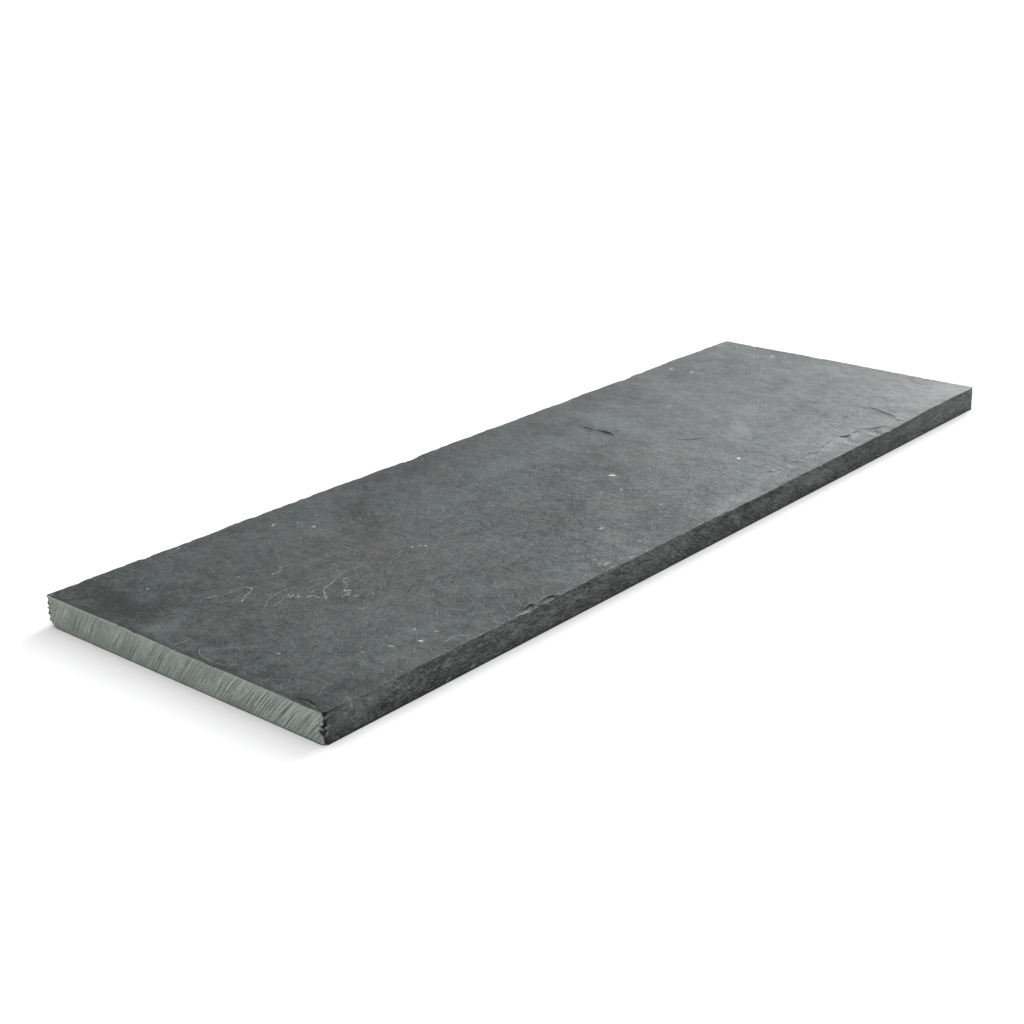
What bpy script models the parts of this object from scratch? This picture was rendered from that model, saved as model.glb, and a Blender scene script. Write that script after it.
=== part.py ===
# Slate slab: one solid piece of slate. The top is riven, so it is a split cleft face with shallow flakes
# gone from it. The underside is flat, both short ends are sawn square, and the two long sides are rough.
# Frame: origin at the centre of the underside, +X along the length, +Y across it, +Z up, in metres.
# The corner at -X, -Y is called the near front corner.

import math
import random

import bmesh
import bpy
from mathutils import Matrix, Vector, noise

# Overall size. The box is exactly LENGTH by WIDTH, because every break goes inwards from it.
LENGTH = 0.900
WIDTH = 0.300
END = LENGTH / 2
SIDE = WIDTH / 2

# Height of the riven top at the four corners, named by end (near, far) and side (front, back).
NEAR_FRONT = 0.0238
NEAR_BACK = 0.0254
FAR_FRONT = 0.0233
FAR_BACK = 0.0239
THICKNESS = (NEAR_FRONT + NEAR_BACK + FAR_FRONT + FAR_BACK) / 4

# The cleft top swells and dips gently between its edges.
SWELL_HEIGHT = 0.0006
SWELL_SPAN = 0.11
RIPPLE_HEIGHT = 0.00025
RIPPLE_SPAN = 0.032

# Single rises and dips of the top beside its edges: centre x and y, reach along x and y, height.
SWELLS = (
    (-0.450, 0.060, 0.060, 0.040, 0.0011),
    (-0.450, -0.015, 0.050, 0.045, -0.0005),
    (-0.450, -0.080, 0.050, 0.045, 0.0002),
    (0.450, -0.030, 0.090, 0.100, 0.0004),
    (0.450, 0.045, 0.070, 0.035, 0.0005),
    (0.360, 0.150, 0.110, 0.050, 0.0006),
    (-0.265, 0.150, 0.070, 0.045, 0.0005),
    (0.000, 0.150, 0.035, 0.040, 0.0004),
    (-0.220, -0.150, 0.240, 0.060, -0.0006),
    (0.060, -0.150, 0.240, 0.060, -0.0006),
    (0.055, -0.150, 0.090, 0.030, -0.0015),
    (-0.100, -0.150, 0.050, 0.030, -0.0005),
    (0.317, -0.150, 0.040, 0.024, -0.0012),
)

# The long sides are rough, but run straight along the underside.
FRONT_HOLLOW = 0.0007
BACK_HOLLOW = 0.0013
HOLLOW_LENGTH = 0.028
HOLLOW_HEIGHT = 0.009
HOLLOW_REACH = 0.012

# The front arris is rolled over for a stretch beside the near end.
ROLL_START = -0.424
ROLL_END = -0.378
ROLL_DROP = 0.0013
ROLL_INSET = 0.0012
ROLL_WIDTH = 0.008

# Mesh cells, and the extra lines beside each arris.
CELLS_ALONG = 72
CELLS_ACROSS = 24
SIDE_ROWS = (0.12, 0.34, 0.56, 0.78, 0.93)
ARRIS_LINES = (0.0022, 0.0055)

# Flakes gone from the top. Each broke off along its step, a line of (x, y, depth below the riven surface),
# and the rest of its outline lies off the slab or where the scar has faded out. The fade is how far from
# the step that is. A scar that keeps its depth as far as the arris has a long fade.
FLAKES = {
    "flake_far_front": {
        "step": [(0.315, -0.160, 0.0001), (0.3130, -0.1440, 0.0003), (0.3117, -0.1403, 0.0006),
                 (0.3150, -0.1350, 0.0005), (0.3198, -0.1284, 0.0008), (0.3222, -0.1184, 0.0010),
                 (0.3270, -0.1100, 0.0007), (0.3285, -0.0885, 0.0004), (0.325, -0.070, 0.0)],
        "rest": [(0.215, -0.066), (0.215, -0.160)],
        "fade": 0.09,
    },
    "flake_front_strip": {
        "step": [(-0.008, -0.160, 0.0008), (-0.004, -0.1475, 0.0005), (0.008, -0.1410, 0.0002),
                 (0.026, -0.1360, 0.0002), (0.050, -0.1320, 0.0003), (0.0905, -0.1270, 0.0006),
                 (0.1090, -0.1238, 0.0007), (0.1200, -0.1275, 0.0007), (0.1430, -0.1254, 0.0009),
                 (0.1490, -0.1295, 0.0009), (0.1740, -0.1255, 0.0009), (0.1805, -0.1305, 0.0010),
                 (0.2000, -0.1262, 0.0010), (0.2280, -0.1222, 0.0011), (0.2380, -0.1280, 0.0013),
                 (0.2640, -0.1290, 0.0014), (0.2710, -0.1355, 0.0016), (0.2835, -0.1390, 0.0017),
                 (0.2960, -0.1438, 0.0012), (0.3060, -0.1470, 0.0005), (0.312, -0.160, 0.0002)],
        "rest": [],
        "fade": 0.50,
    },
    "flake_back_middle": {
        "step": [(0.107, 0.098, 0.0), (0.110, 0.080, 0.0007), (0.1090, 0.0705, 0.0009),
                 (0.1103, 0.0636, 0.0012), (0.1112, 0.0565, 0.0016), (0.1108, 0.0505, 0.0014),
                 (0.1065, 0.0450, 0.0006), (0.098, 0.042, 0.0)],
        "rest": [(0.054, 0.043), (0.054, 0.096)],
        "fade": 0.040,
    },
    "flake_middle": {
        "step": [(0.128, -0.004, 0.0), (0.138, -0.017, 0.0006), (0.150, -0.024, 0.0005),
                 (0.155, -0.035, 0.0)],
        "rest": [(0.110, -0.035), (0.110, -0.004)],
        "fade": 0.026,
    },
    "flake_arris_left": {
        "step": [(-0.2600, -0.160, 0.0003), (-0.2545, -0.1472, 0.0006), (-0.2500, -0.1456, 0.0010),
                 (-0.2431, -0.1445, 0.0012), (-0.2375, -0.1437, 0.0012), (-0.2355, -0.1455, 0.0009),
                 (-0.2355, -0.160, 0.0006)],
        "rest": [],
        "fade": 0.10,
    },
    "flake_arris_right": {
        "step": [(-0.2330, -0.160, 0.0006), (-0.2320, -0.1479, 0.0009), (-0.2243, -0.1448, 0.0014),
                 (-0.2193, -0.1444, 0.0015), (-0.2161, -0.1455, 0.0013), (-0.2134, -0.1489, 0.0010),
                 (-0.2120, -0.160, 0.0008)],
        "rest": [],
        "fade": 0.10,
    },
    "flake_near_corner": {
        "step": [(-0.460, -0.118, 0.0002), (-0.4445, -0.1212, 0.0005), (-0.4428, -0.1265, 0.0006),
                 (-0.4424, -0.1308, 0.0006), (-0.4436, -0.1349, 0.0005), (-0.4465, -0.1410, 0.0003),
                 (-0.4500, -0.160, 0.0002)],
        "rest": [(-0.460, -0.160)],
        "fade": 0.06,
    },
    "flake_near_end": {
        "step": [(-0.460, 0.053, 0.0009), (-0.447, 0.0505, 0.0006), (-0.440, 0.046, 0.0003),
                 (-0.434, 0.036, 0.0)],
        "rest": [(-0.434, -0.008), (-0.460, -0.008)],
        "fade": 0.05,
    },
}

# A scar rises by the fade depth over its fade, so that it leaves the surface before its outline ends.
# Where it would be shallower than the least depth, nothing is cut.
FADE_DEPTH = 0.0012
LEAST_DEPTH = 0.00012

# Chips on the arrises: centre, then radii along x, y and z.
CHIPS = {
    "chip_back_notch": ((-0.060, 0.1520, 0.0252), (0.015, 0.0050, 0.0032)),
    "chip_back_near": ((-0.358, 0.1520, 0.0252), (0.011, 0.0042, 0.0030)),
    "chip_back_far": ((0.262, 0.1525, 0.0240), (0.014, 0.0048, 0.0030)),
    "chip_near_top": ((-0.4510, -0.038, 0.0252), (0.0030, 0.0080, 0.0026)),
    "chip_near_top_back": ((-0.4512, 0.060, 0.0254), (0.0026, 0.0060, 0.0022)),
    "chip_far_top": ((0.4512, 0.030, 0.0246), (0.0030, 0.0090, 0.0026)),
    "chip_front_light": ((-0.142, -0.1512, 0.0236), (0.0050, 0.0032, 0.0022)),
    "chip_front_small": ((-0.121, -0.1512, 0.0238), (0.0034, 0.0026, 0.0020)),
    "chip_front_middle": ((0.015, -0.1512, 0.0236), (0.0080, 0.0028, 0.0020)),
    "chip_near_front_foot": ((-0.4508, -0.1508, -0.0006), (0.0042, 0.0042, 0.0024)),
}

# The saw broke out small scallops down the upright arrises of its ends: height, then the same radii.
SCALLOPS = {
    "near_front": (
        (0.0228, (0.0042, 0.0018, 0.0018)), (0.0168, (0.0034, 0.0010, 0.0026)),
        (0.0134, (0.0032, 0.0038, 0.0014)), (0.0090, (0.0018, 0.0052, 0.0023)),
        (0.0038, (0.0034, 0.0010, 0.0026)),
    ),
    "near_back": (
        (0.0216, (0.0022, 0.0026, 0.0020)), (0.0167, (0.0022, 0.0028, 0.0014)),
        (0.0127, (0.0020, 0.0026, 0.0013)), (0.0078, (0.0022, 0.0026, 0.0022)),
    ),
    "far_back": ((0.0060, (0.0022, 0.0018, 0.0020)), (0.0140, (0.0024, 0.0020, 0.0022))),
}
SMALL_CHIPS = 30
SMALL_CHIP_SEED = 12

# The underside's near back corner is broken off: how far the break runs along x, y and z.
CORNER_BREAK = (0.034, 0.0095, 0.0056)

WELD_DISTANCE = 0.00006

SLATE_COLOUR = (0.052, 0.058, 0.058, 1.0)
SLATE_ROUGHNESS = 0.5


def smooth_step(low, high, value):
    t = min(max((value - low) / (high - low), 0.0), 1.0)
    return t * t * (3 - 2 * t)


def bump_between(low, high, margin, value):
    """1 between low and high, falling smoothly to 0 over the margin outside them."""
    rise = smooth_step(low - margin, low + margin, value)
    return rise * (1 - smooth_step(high - margin, high + margin, value))


def roll(x, y):
    """0 to 1: how far the rolled stretch of the front arris reaches here."""
    return bump_between(ROLL_START, ROLL_END, 0.012, x) * (1 - smooth_step(0.0, ROLL_WIDTH, y + SIDE))


def top_height(x, y):
    along = x / LENGTH + 0.5
    across = y / WIDTH + 0.5
    front = NEAR_FRONT + (FAR_FRONT - NEAR_FRONT) * along
    back = NEAR_BACK + (FAR_BACK - NEAR_BACK) * along
    plane = front + (back - front) * across
    # Away from the corners only, so that these keep their heights.
    inside = 1 - abs(2 * along - 1) ** 6 * abs(2 * across - 1) ** 6
    swell = SWELL_HEIGHT * noise.noise(Vector((x / SWELL_SPAN, y / SWELL_SPAN, 3.1)))
    ripple = RIPPLE_HEIGHT * noise.noise(Vector((x / RIPPLE_SPAN, y / RIPPLE_SPAN, 8.7)))
    single = 0.0
    for centre_x, centre_y, reach_x, reach_y, height in SWELLS:
        apart = ((x - centre_x) / reach_x) ** 2 + ((y - centre_y) / reach_y) ** 2
        single += height * max(1 - apart, 0.0) ** 2
    return plane + inside * (swell + ripple) + single - ROLL_DROP * roll(x, y)


def side_hollow(x, height, side):
    """How far the rough face of a long side lies inside the slab's width, at this height."""
    depth = FRONT_HOLLOW if side < 0 else BACK_HOLLOW
    hollow = noise.noise(Vector((x / HOLLOW_LENGTH, height / HOLLOW_HEIGHT, 5.0 * side))) + 0.5
    hollow = depth * min(max(hollow, 0.0), 1.0) * smooth_step(0.0, 0.004, height)
    if side < 0:
        hollow += ROLL_INSET * roll(x, -SIDE) * smooth_step(0.45, 1.0, height / THICKNESS)
    return hollow


def grid_lines(span, cells):
    """Positions that cut the span into even cells, with the extra lines beside both of its ends."""
    inner = [span * (i / cells - 0.5) for i in range(1, cells)]
    edges = [sign * (span / 2 - step) for step in ARRIS_LINES for sign in (-1, 1)]
    clear = span / 2 - max(ARRIS_LINES) - 0.25 * span / cells
    return [p for p in inner if abs(p) < clear] + edges


LINES_ALONG = grid_lines(LENGTH, CELLS_ALONG)
LINES_ACROSS = grid_lines(WIDTH, CELLS_ACROSS)


def cut_into_cells(bm, axis, lines):
    normal = Vector((0, 0, 0))
    normal[axis] = 1
    for position in lines:
        geometry = bm.verts[:] + bm.edges[:] + bm.faces[:]
        bmesh.ops.bisect_plane(bm, geom=geometry, dist=1e-6, plane_co=normal * position, plane_no=normal)


def make_block():
    """The whole slab before anything broke off it, cut into cells that carry the relief."""
    bm = bmesh.new()
    bmesh.ops.create_cube(bm, size=1.0)
    bmesh.ops.scale(bm, vec=(LENGTH, WIDTH, THICKNESS), verts=bm.verts)
    bmesh.ops.translate(bm, vec=(0, 0, THICKNESS / 2), verts=bm.verts)
    cut_into_cells(bm, 0, LINES_ALONG)
    cut_into_cells(bm, 1, LINES_ACROSS)
    cut_into_cells(bm, 2, [row * THICKNESS for row in SIDE_ROWS])
    for vert in bm.verts:
        x, y, z = vert.co
        height = z / THICKNESS * top_height(x, y)
        side = -1 if y < 0 else 1
        reach = 1 - smooth_step(0.0, HOLLOW_REACH, SIDE - abs(y))
        vert.co = (x, y - side * side_hollow(x, height, side) * reach, height)
    bmesh.ops.triangulate(bm, faces=bm.faces[:], quad_method="FIXED")
    mesh = bpy.data.meshes.new("slab")
    bm.to_mesh(mesh)
    bm.free()
    return bpy.data.objects.new("slab", mesh)


def keep_as_cutter(obj, cutters):
    obj.hide_render = True
    obj.display_type = "WIRE"
    cutters.objects.link(obj)
    return obj


def scar_depth(flake, x, y):
    """Depth of a flake's scar below the surface, from the nearest point of its step."""
    here = Vector((x, y))
    nearest = math.inf
    depth = 0.0
    for start, end in zip(flake["step"], flake["step"][1:]):
        a, b = Vector(start[:2]), Vector(end[:2])
        t = min(max((here - a).dot(b - a) / (b - a).length_squared, 0.0), 1.0)
        distance = (here - a.lerp(b, t)).length
        if distance < nearest:
            nearest = distance
            depth = start[2] + (end[2] - start[2]) * t
    depth -= FADE_DEPTH * nearest / flake["fade"]
    return depth if abs(depth) > LEAST_DEPTH else -LEAST_DEPTH


def flake_cutter(name, flake, cutters):
    """The space where a flake was: its outline given thickness, with its underside laid on the scar."""
    outline = [point[:2] for point in flake["step"]] + flake["rest"]
    curve = bpy.data.curves.new(name, "CURVE")
    curve.dimensions = "2D"
    curve.fill_mode = "BOTH"
    curve.extrude = THICKNESS / 2
    spline = curve.splines.new("POLY")
    spline.points.add(len(outline) - 1)
    for point, (x, y) in zip(spline.points, outline):
        point.co = (x, y, 0, 1)
    spline.use_cyclic_u = True
    shape = bpy.data.objects.new(name, curve)
    bpy.context.scene.collection.objects.link(shape)
    bpy.context.view_layer.update()
    mesh = bpy.data.meshes.new_from_object(shape.evaluated_get(bpy.context.evaluated_depsgraph_get()))
    bpy.data.objects.remove(shape)
    bpy.data.curves.remove(curve)

    bm = bmesh.new()
    bm.from_mesh(mesh)
    bmesh.ops.remove_doubles(bm, verts=bm.verts, dist=1e-5)
    bmesh.ops.dissolve_limit(bm, angle_limit=0.01, verts=bm.verts, edges=bm.edges)
    for axis, lines in enumerate((LINES_ALONG, LINES_ACROSS)):
        spread = [vert.co[axis] for vert in bm.verts]
        cut_into_cells(bm, axis, [p for p in lines if min(spread) < p < max(spread)])
    for vert in bm.verts:
        x, y, z = vert.co
        vert.co.z = top_height(x, y) - scar_depth(flake, x, y) if z < 0 else 2 * THICKNESS
    bmesh.ops.triangulate(bm, faces=bm.faces[:], quad_method="FIXED")
    bmesh.ops.recalc_face_normals(bm, faces=bm.faces)
    bm.to_mesh(mesh)
    bm.free()
    return keep_as_cutter(bpy.data.objects.new(name, mesh), cutters)


def chip_cutter(name, centre, radii, spin, cutters):
    """A squashed, coarse ball that leaves a small shell-shaped scar."""
    bm = bmesh.new()
    bmesh.ops.create_icosphere(bm, subdivisions=2, radius=1.0)
    turn = Matrix.Rotation(spin, 3, "Z") @ Matrix.Rotation(2 * spin, 3, "X")
    for vert in bm.verts:
        vert.co = Vector(centre) + Vector(r * c for r, c in zip(radii, turn @ vert.co))
    mesh = bpy.data.meshes.new(name)
    bm.to_mesh(mesh)
    bm.free()
    return keep_as_cutter(bpy.data.objects.new(name, mesh), cutters)


def scallop_cutters(cutters):
    """The row of small break-outs down each upright arris of the sawn ends."""
    for corner, scallops in SCALLOPS.items():
        x = -END if corner.startswith("near") else END
        y = -SIDE if corner.endswith("front") else SIDE
        for i, (height, radii) in enumerate(scallops):
            chip_cutter(f"scallop_{corner}_{i}", (x, y, height), radii, 0.7 * i, cutters)


def small_chip_cutters(cutters):
    """Small chips scattered along the top arrises, most of them on the rough sides."""
    rng = random.Random(SMALL_CHIP_SEED)
    for i in range(SMALL_CHIPS):
        size = rng.uniform(0.0011, 0.0021)
        if i % 3:
            side = -1 if i % 3 == 1 else 1
            x = rng.uniform(-0.94, 0.94) * END
            y = side * (SIDE + 0.1 * size)
            radii = (rng.uniform(1.2, 3.0) * size, size, 0.8 * size)
        else:
            x = rng.choice((-1, 1)) * (END + 0.1 * size)
            y = rng.uniform(-0.9, 0.9) * SIDE
            radii = (size, rng.uniform(1.2, 2.6) * size, 0.8 * size)
        height = top_height(x, y) + 0.1 * size
        chip_cutter(f"small_chip_{i}", (x, y, height), radii, rng.uniform(0, math.tau), cutters)


def corner_break_cutter(cutters):
    """A block with one face on the plane that cuts the three edges of the underside's near back corner."""
    corner = Vector((-END, SIDE, 0))
    along, across, up = CORNER_BREAK
    inward = Vector((1 / along, -1 / across, 1 / up)).normalized()
    size = 0.08
    bm = bmesh.new()
    bmesh.ops.create_cube(bm, size=size)
    bmesh.ops.rotate(bm, matrix=Vector((0, 0, 1)).rotation_difference(inward).to_matrix(), verts=bm.verts)
    on_plane = corner + Vector((along, 0, 0))
    centre = corner + inward * ((on_plane - corner).dot(inward) - size / 2)
    bmesh.ops.translate(bm, vec=centre, verts=bm.verts)
    mesh = bpy.data.meshes.new("corner_break")
    bm.to_mesh(mesh)
    bm.free()
    return keep_as_cutter(bpy.data.objects.new("corner_break", mesh), cutters)


def slate_material():
    material = bpy.data.materials.new("slate")
    material.use_nodes = True
    shader = material.node_tree.nodes["Principled BSDF"]
    shader.inputs["Base Color"].default_value = SLATE_COLOUR
    shader.inputs["Roughness"].default_value = SLATE_ROUGHNESS
    shader.inputs["Metallic"].default_value = 0.0
    return material


def cut(slab, cutters):
    difference = slab.modifiers.new("breaks", "BOOLEAN")
    difference.operation = "DIFFERENCE"
    difference.solver = "EXACT"
    difference.operand_type = "COLLECTION"
    difference.collection = cutters
    # Points that two breaks leave almost on top of each other are joined.
    weld = slab.modifiers.new("close_points", "WELD")
    weld.merge_threshold = WELD_DISTANCE


def main():
    for obj in list(bpy.data.objects):
        bpy.data.objects.remove(obj)
    scene = bpy.context.scene
    part = bpy.data.collections.new("slate_slab")
    cutters = bpy.data.collections.new("cutters")
    for collection in (part, cutters):
        scene.collection.children.link(collection)

    slab = make_block()
    part.objects.link(slab)
    for name, flake in FLAKES.items():
        flake_cutter(name, flake, cutters)
    for i, (name, (centre, radii)) in enumerate(CHIPS.items()):
        chip_cutter(name, centre, radii, 0.9 * i, cutters)
    scallop_cutters(cutters)
    small_chip_cutters(cutters)
    corner_break_cutter(cutters)
    cut(slab, cutters)

    slab.data.materials.append(slate_material())
    slab.data.shade_smooth()
    slab.data.set_sharp_from_angle(angle=math.radians(20))


main()
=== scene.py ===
import math
import random

import bpy
import numpy as np
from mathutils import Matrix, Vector, kdtree, noise
from mathutils.geometry import delaunay_2d_cdt


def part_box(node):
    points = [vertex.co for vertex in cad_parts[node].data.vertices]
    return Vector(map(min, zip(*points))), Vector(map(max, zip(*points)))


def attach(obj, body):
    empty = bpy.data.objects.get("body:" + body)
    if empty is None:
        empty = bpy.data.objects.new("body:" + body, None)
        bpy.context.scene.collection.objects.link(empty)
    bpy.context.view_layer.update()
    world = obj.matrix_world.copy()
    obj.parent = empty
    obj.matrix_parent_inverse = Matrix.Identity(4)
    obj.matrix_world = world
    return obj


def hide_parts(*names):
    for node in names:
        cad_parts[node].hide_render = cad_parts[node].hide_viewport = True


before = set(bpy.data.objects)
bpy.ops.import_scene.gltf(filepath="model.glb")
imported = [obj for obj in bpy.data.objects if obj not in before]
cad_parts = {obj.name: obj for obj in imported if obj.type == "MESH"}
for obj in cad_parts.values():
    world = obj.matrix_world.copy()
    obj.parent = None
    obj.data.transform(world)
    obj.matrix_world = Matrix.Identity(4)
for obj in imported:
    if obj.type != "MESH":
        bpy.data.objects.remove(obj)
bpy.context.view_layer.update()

# A riven slate slab as one detailed piece: split top, sawn ends, broken long sides, ground underside.
# The long way is X, the near end is at -X and the front side at -Y. Tables of places are in millimetres,
# and everything else is in metres. A point of the slab is first named by x, y and rise, 0 on the underside
# and 1 on the top.

endX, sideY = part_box("slab")[1][:2]
mm = 0.001
print("frame loaded, slab is", round(2 * endX, 4), "by", round(2 * sideY, 4))


def metres(values):
    return tuple(round(value * mm, 7) for value in values)


def smoothStep(start, end, value):
    t = np.clip((value - start) / (end - start), 0, 1)
    return t * t * (3 - 2 * t)


def noiseAt(x, y, z):
    # Blender's own noise, -1 to 1, at many points at once
    x, y, z = np.broadcast_arrays(x, y, z)
    return np.array([noise.noise(point) for point in zip(x, y, z)])


def addObject(name, data):
    thing = bpy.data.objects.new(name, data)
    bpy.context.scene.collection.objects.link(thing)
    return thing


# the slab's own form, the same sizes as the solid

slab = {
    "nearFront": 0.0238, "nearBack": 0.0254, "farFront": 0.0233, "farBack": 0.0239,
    "thickness": 0.0241,                               # the mean of the four corners
    "swellHeight": 0.0006, "swellSpan": 0.11,
    "rippleHeight": 0.00025, "rippleSpan": 0.032,
    "frontHollow": 0.0007, "backHollow": 0.0013,       # how far the long sides are broken inwards
    "hollowLength": 0.028, "hollowHeight": 0.009, "hollowReach": 0.012, "hollowFrom": 0.004,
    "rollStart": -0.424, "rollEnd": -0.378,            # the rolled stretch of the front arris
    "rollDrop": 0.0013, "rollInset": 0.0012, "rollWidth": 0.008, "rollMargin": 0.012, "rollFrom": 0.45,
}
# single rises and dips of the top beside its edges: centre x and y, reach along x and y, height
swells = [
    (-450, 60, 60, 40, 1.1), (-450, -15, 50, 45, -0.5), (-450, -80, 50, 45, 0.2), (450, -30, 90, 100, 0.4),
    (450, 45, 70, 35, 0.5), (360, 150, 110, 50, 0.6), (-265, 150, 70, 45, 0.5), (0, 150, 35, 40, 0.4),
    (-220, -150, 240, 60, -0.6), (60, -150, 240, 60, -0.6), (55, -150, 90, 30, -1.5),
    (-100, -150, 50, 30, -0.5), (317, -150, 40, 24, -1.2),
]


def rollReach(x, y):
    margin = slab["rollMargin"]
    rise = smoothStep(slab["rollStart"] - margin, slab["rollStart"] + margin, x)
    fall = smoothStep(slab["rollEnd"] - margin, slab["rollEnd"] + margin, x)
    return rise * (1 - fall) * (1 - smoothStep(0.0, slab["rollWidth"], y + sideY))


def topHeight(x, y):
    along = x / (2 * endX) + 0.5
    across = y / (2 * sideY) + 0.5
    front = slab["nearFront"] + (slab["farFront"] - slab["nearFront"]) * along
    back = slab["nearBack"] + (slab["farBack"] - slab["nearBack"]) * along
    plane = front + (back - front) * across
    inside = 1 - np.abs(2 * along - 1) ** 6 * np.abs(2 * across - 1) ** 6
    swell = slab["swellHeight"] * noiseAt(x / slab["swellSpan"], y / slab["swellSpan"], 3.1)
    ripple = slab["rippleHeight"] * noiseAt(x / slab["rippleSpan"], y / slab["rippleSpan"], 8.7)
    single = 0
    for centreX, centreY, reachX, reachY, height in map(metres, swells):
        apart = ((x - centreX) / reachX) ** 2 + ((y - centreY) / reachY) ** 2
        single = single + height * np.clip(1 - apart, 0, 1) ** 2
    return plane + inside * (swell + ripple) + single - slab["rollDrop"] * rollReach(x, y)


def sideHollow(x, height, side):
    depth = np.where(side < 0, slab["frontHollow"], slab["backHollow"])
    bumps = noiseAt(x / slab["hollowLength"], height / slab["hollowHeight"], 5.0 * side) + 0.5
    hollow = depth * np.clip(bumps, 0, 1) * smoothStep(0.0, slab["hollowFrom"], height)
    upper = smoothStep(slab["rollFrom"], 1.0, height / slab["thickness"])
    rolled = slab["rollInset"] * rollReach(x, -sideY) * upper
    return hollow + np.where(side < 0, rolled, 0)


# Flakes gone from the top: how soon each scar fades, the rest of its outline, and its step's places
# (x, y, depth, sharp). Sharp is the share of the drop that is a clean break; the rest is a short slope.
flakes = {
    "farFront": {"fade": 90, "rest": [(215, -66), (215, -160)], "step": [
        (315, -160, 0.1, 0), (313, -144, 0.3, 0.4), (311.7, -140.3, 0.6, 0.5), (315, -135, 0.5, 0.05),
        (319.8, -128.4, 0.8, 0.3), (322.2, -118.4, 1, 0.4), (327, -110, 0.7, 0.1), (328.5, -88.5, 0.4, 0.1),
        (325, -70, 0, 0),
    ]},
    "frontStrip": {"fade": 500, "rest": [], "step": [
        (-8, -160, 0.8, 0.4), (-4, -147.5, 0.5, 0.3), (8, -141, 0.2, 0.1), (26, -136, 0.2, 0.1),
        (50, -132, 0.3, 0.1), (90.5, -127, 0.6, 0.35), (109, -123.8, 0.7, 0.4), (120, -127.5, 0.7, 0.2),
        (143, -125.4, 0.9, 0.25), (149, -129.5, 0.9, 0.05), (174, -125.5, 0.9, 0.45),
        (180.5, -130.5, 1, 0.35), (200, -126.2, 1, 0.4), (228, -122.2, 1.1, 0.15), (238, -128, 1.3, 0.35),
        (264, -129, 1.4, 0.1), (271, -135.5, 1.6, 0.35), (283.5, -139, 1.7, 0.25), (296, -143.8, 1.2, 0.2),
        (306, -147, 0.5, 0), (312, -160, 0.2, 0),
    ]},
    "backMiddle": {"fade": 40, "rest": [(54, 43), (54, 96)], "step": [
        (107, 98, 0, 0.2), (110, 80, 0.7, 0.35), (109, 70.5, 0.9, 0.3), (110.3, 63.6, 1.2, 0.4),
        (111.2, 56.5, 1.6, 0.55), (110.8, 50.5, 1.4, 0.55), (106.5, 45, 0.6, 0.2), (98, 42, 0, 0),
    ]},
    "middle": {"fade": 26, "rest": [(110, -35), (110, -4)], "step": [
        (128, -4, 0, 0.3), (138, -17, 0.6, 0.4), (150, -24, 0.5, 0.4), (155, -35, 0, 0.3),
    ]},
    "arrisLeft": {"fade": 100, "rest": [], "step": [
        (-260, -160, 0.3, 0), (-254.5, -147.2, 0.6, 0.3), (-250, -145.6, 1, 0.6), (-243.1, -144.5, 1.2, 1),
        (-237.5, -143.7, 1.2, 0.7), (-235.5, -145.5, 0.9, 0.4), (-235.5, -160, 0.6, 0.1),
    ]},
    "arrisRight": {"fade": 100, "rest": [], "step": [
        (-233, -160, 0.6, 0.1), (-232, -147.9, 0.9, 0.6), (-224.3, -144.8, 1.4, 1), (-219.3, -144.4, 1.5, 1),
        (-216.1, -145.5, 1.3, 0.9), (-213.4, -148.9, 1, 0.6), (-212, -160, 0.8, 0.2),
    ]},
    "nearCorner": {"fade": 60, "rest": [(-460, -160)], "step": [
        (-460, -118, 0.2, 0.2), (-444.5, -121.2, 0.5, 0.7), (-442.8, -126.5, 0.6, 0.6),
        (-442.4, -130.8, 0.6, 0.8), (-443.6, -134.9, 0.5, 0.4), (-446.5, -141, 0.3, 0.1),
        (-450, -160, 0.2, 0),
    ]},
    "nearEnd": {"fade": 50, "rest": [(-434, -8), (-460, -8)], "step": [
        (-460, 53, 0.9, 0.3), (-447, 50.5, 0.6, 0.15), (-440, 46, 0.3, 0.05), (-434, 36, 0, 0),
    ]},
}
splitting = {
    "fadeDepth": 0.0012,       # how much a scar rises over its fade
    "pointGap": 0.0014,        # between points along a rough step
    "wander": 0.0008, "wanderSpan": 0.007,
    "jag": 0.0003, "jagSpan": 0.0022,
    "depthChange": 0.35, "depthSpan": 0.012,
    "stepRun": 0.00026,        # how far the step's face leans out from crest to foot
    "slopeRun": 0.008, "slopeChange": 0.55, "slopeSpan": 0.006,
    "floorRough": 0.00014, "floorSpan": 0.006, "floorFrom": 0.0004,
    "shade": 0.3, "shadeDepth": 0.0008, "shadeWidth": 0.0009,     # the dark line along a sharp step
}


def acrossLine(line, i):
    ahead = Vector(line[min(i + 1, len(line) - 1)][:2])
    behind = Vector(line[max(i - 1, 0)][:2])
    along = (ahead - behind).normalized()
    return Vector((-along.y, along.x))


def roughLine(step, seed):
    # the same step with more points, knocked about as split stone is
    corners = [Vector((*metres(point[:3]), point[3])) for point in step]
    points = []
    for a, b in zip(corners, corners[1:]):
        count = max(1, round((b - a).xy.length / splitting["pointGap"]))
        points += [a.lerp(b, i / count) for i in range(count)]
    points.append(corners[-1])
    rough = []
    for i, point in enumerate(points):
        spot = Vector((point.x, point.y, seed))
        shift = splitting["wander"] * noise.noise(spot / splitting["wanderSpan"])
        shift += splitting["jag"] * noise.noise(spot / splitting["jagSpan"])
        deeper = 1 + splitting["depthChange"] * 2 * noise.noise(spot / splitting["depthSpan"])
        sharper = splitting["slopeChange"] * noise.noise(spot / splitting["slopeSpan"])
        place = point.xy + shift * acrossLine(points, i)
        rough.append((place.x, place.y, point.z * max(deeper, 0.1), min(max(point.w + sharper, 0), 1)))
    return rough


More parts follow.
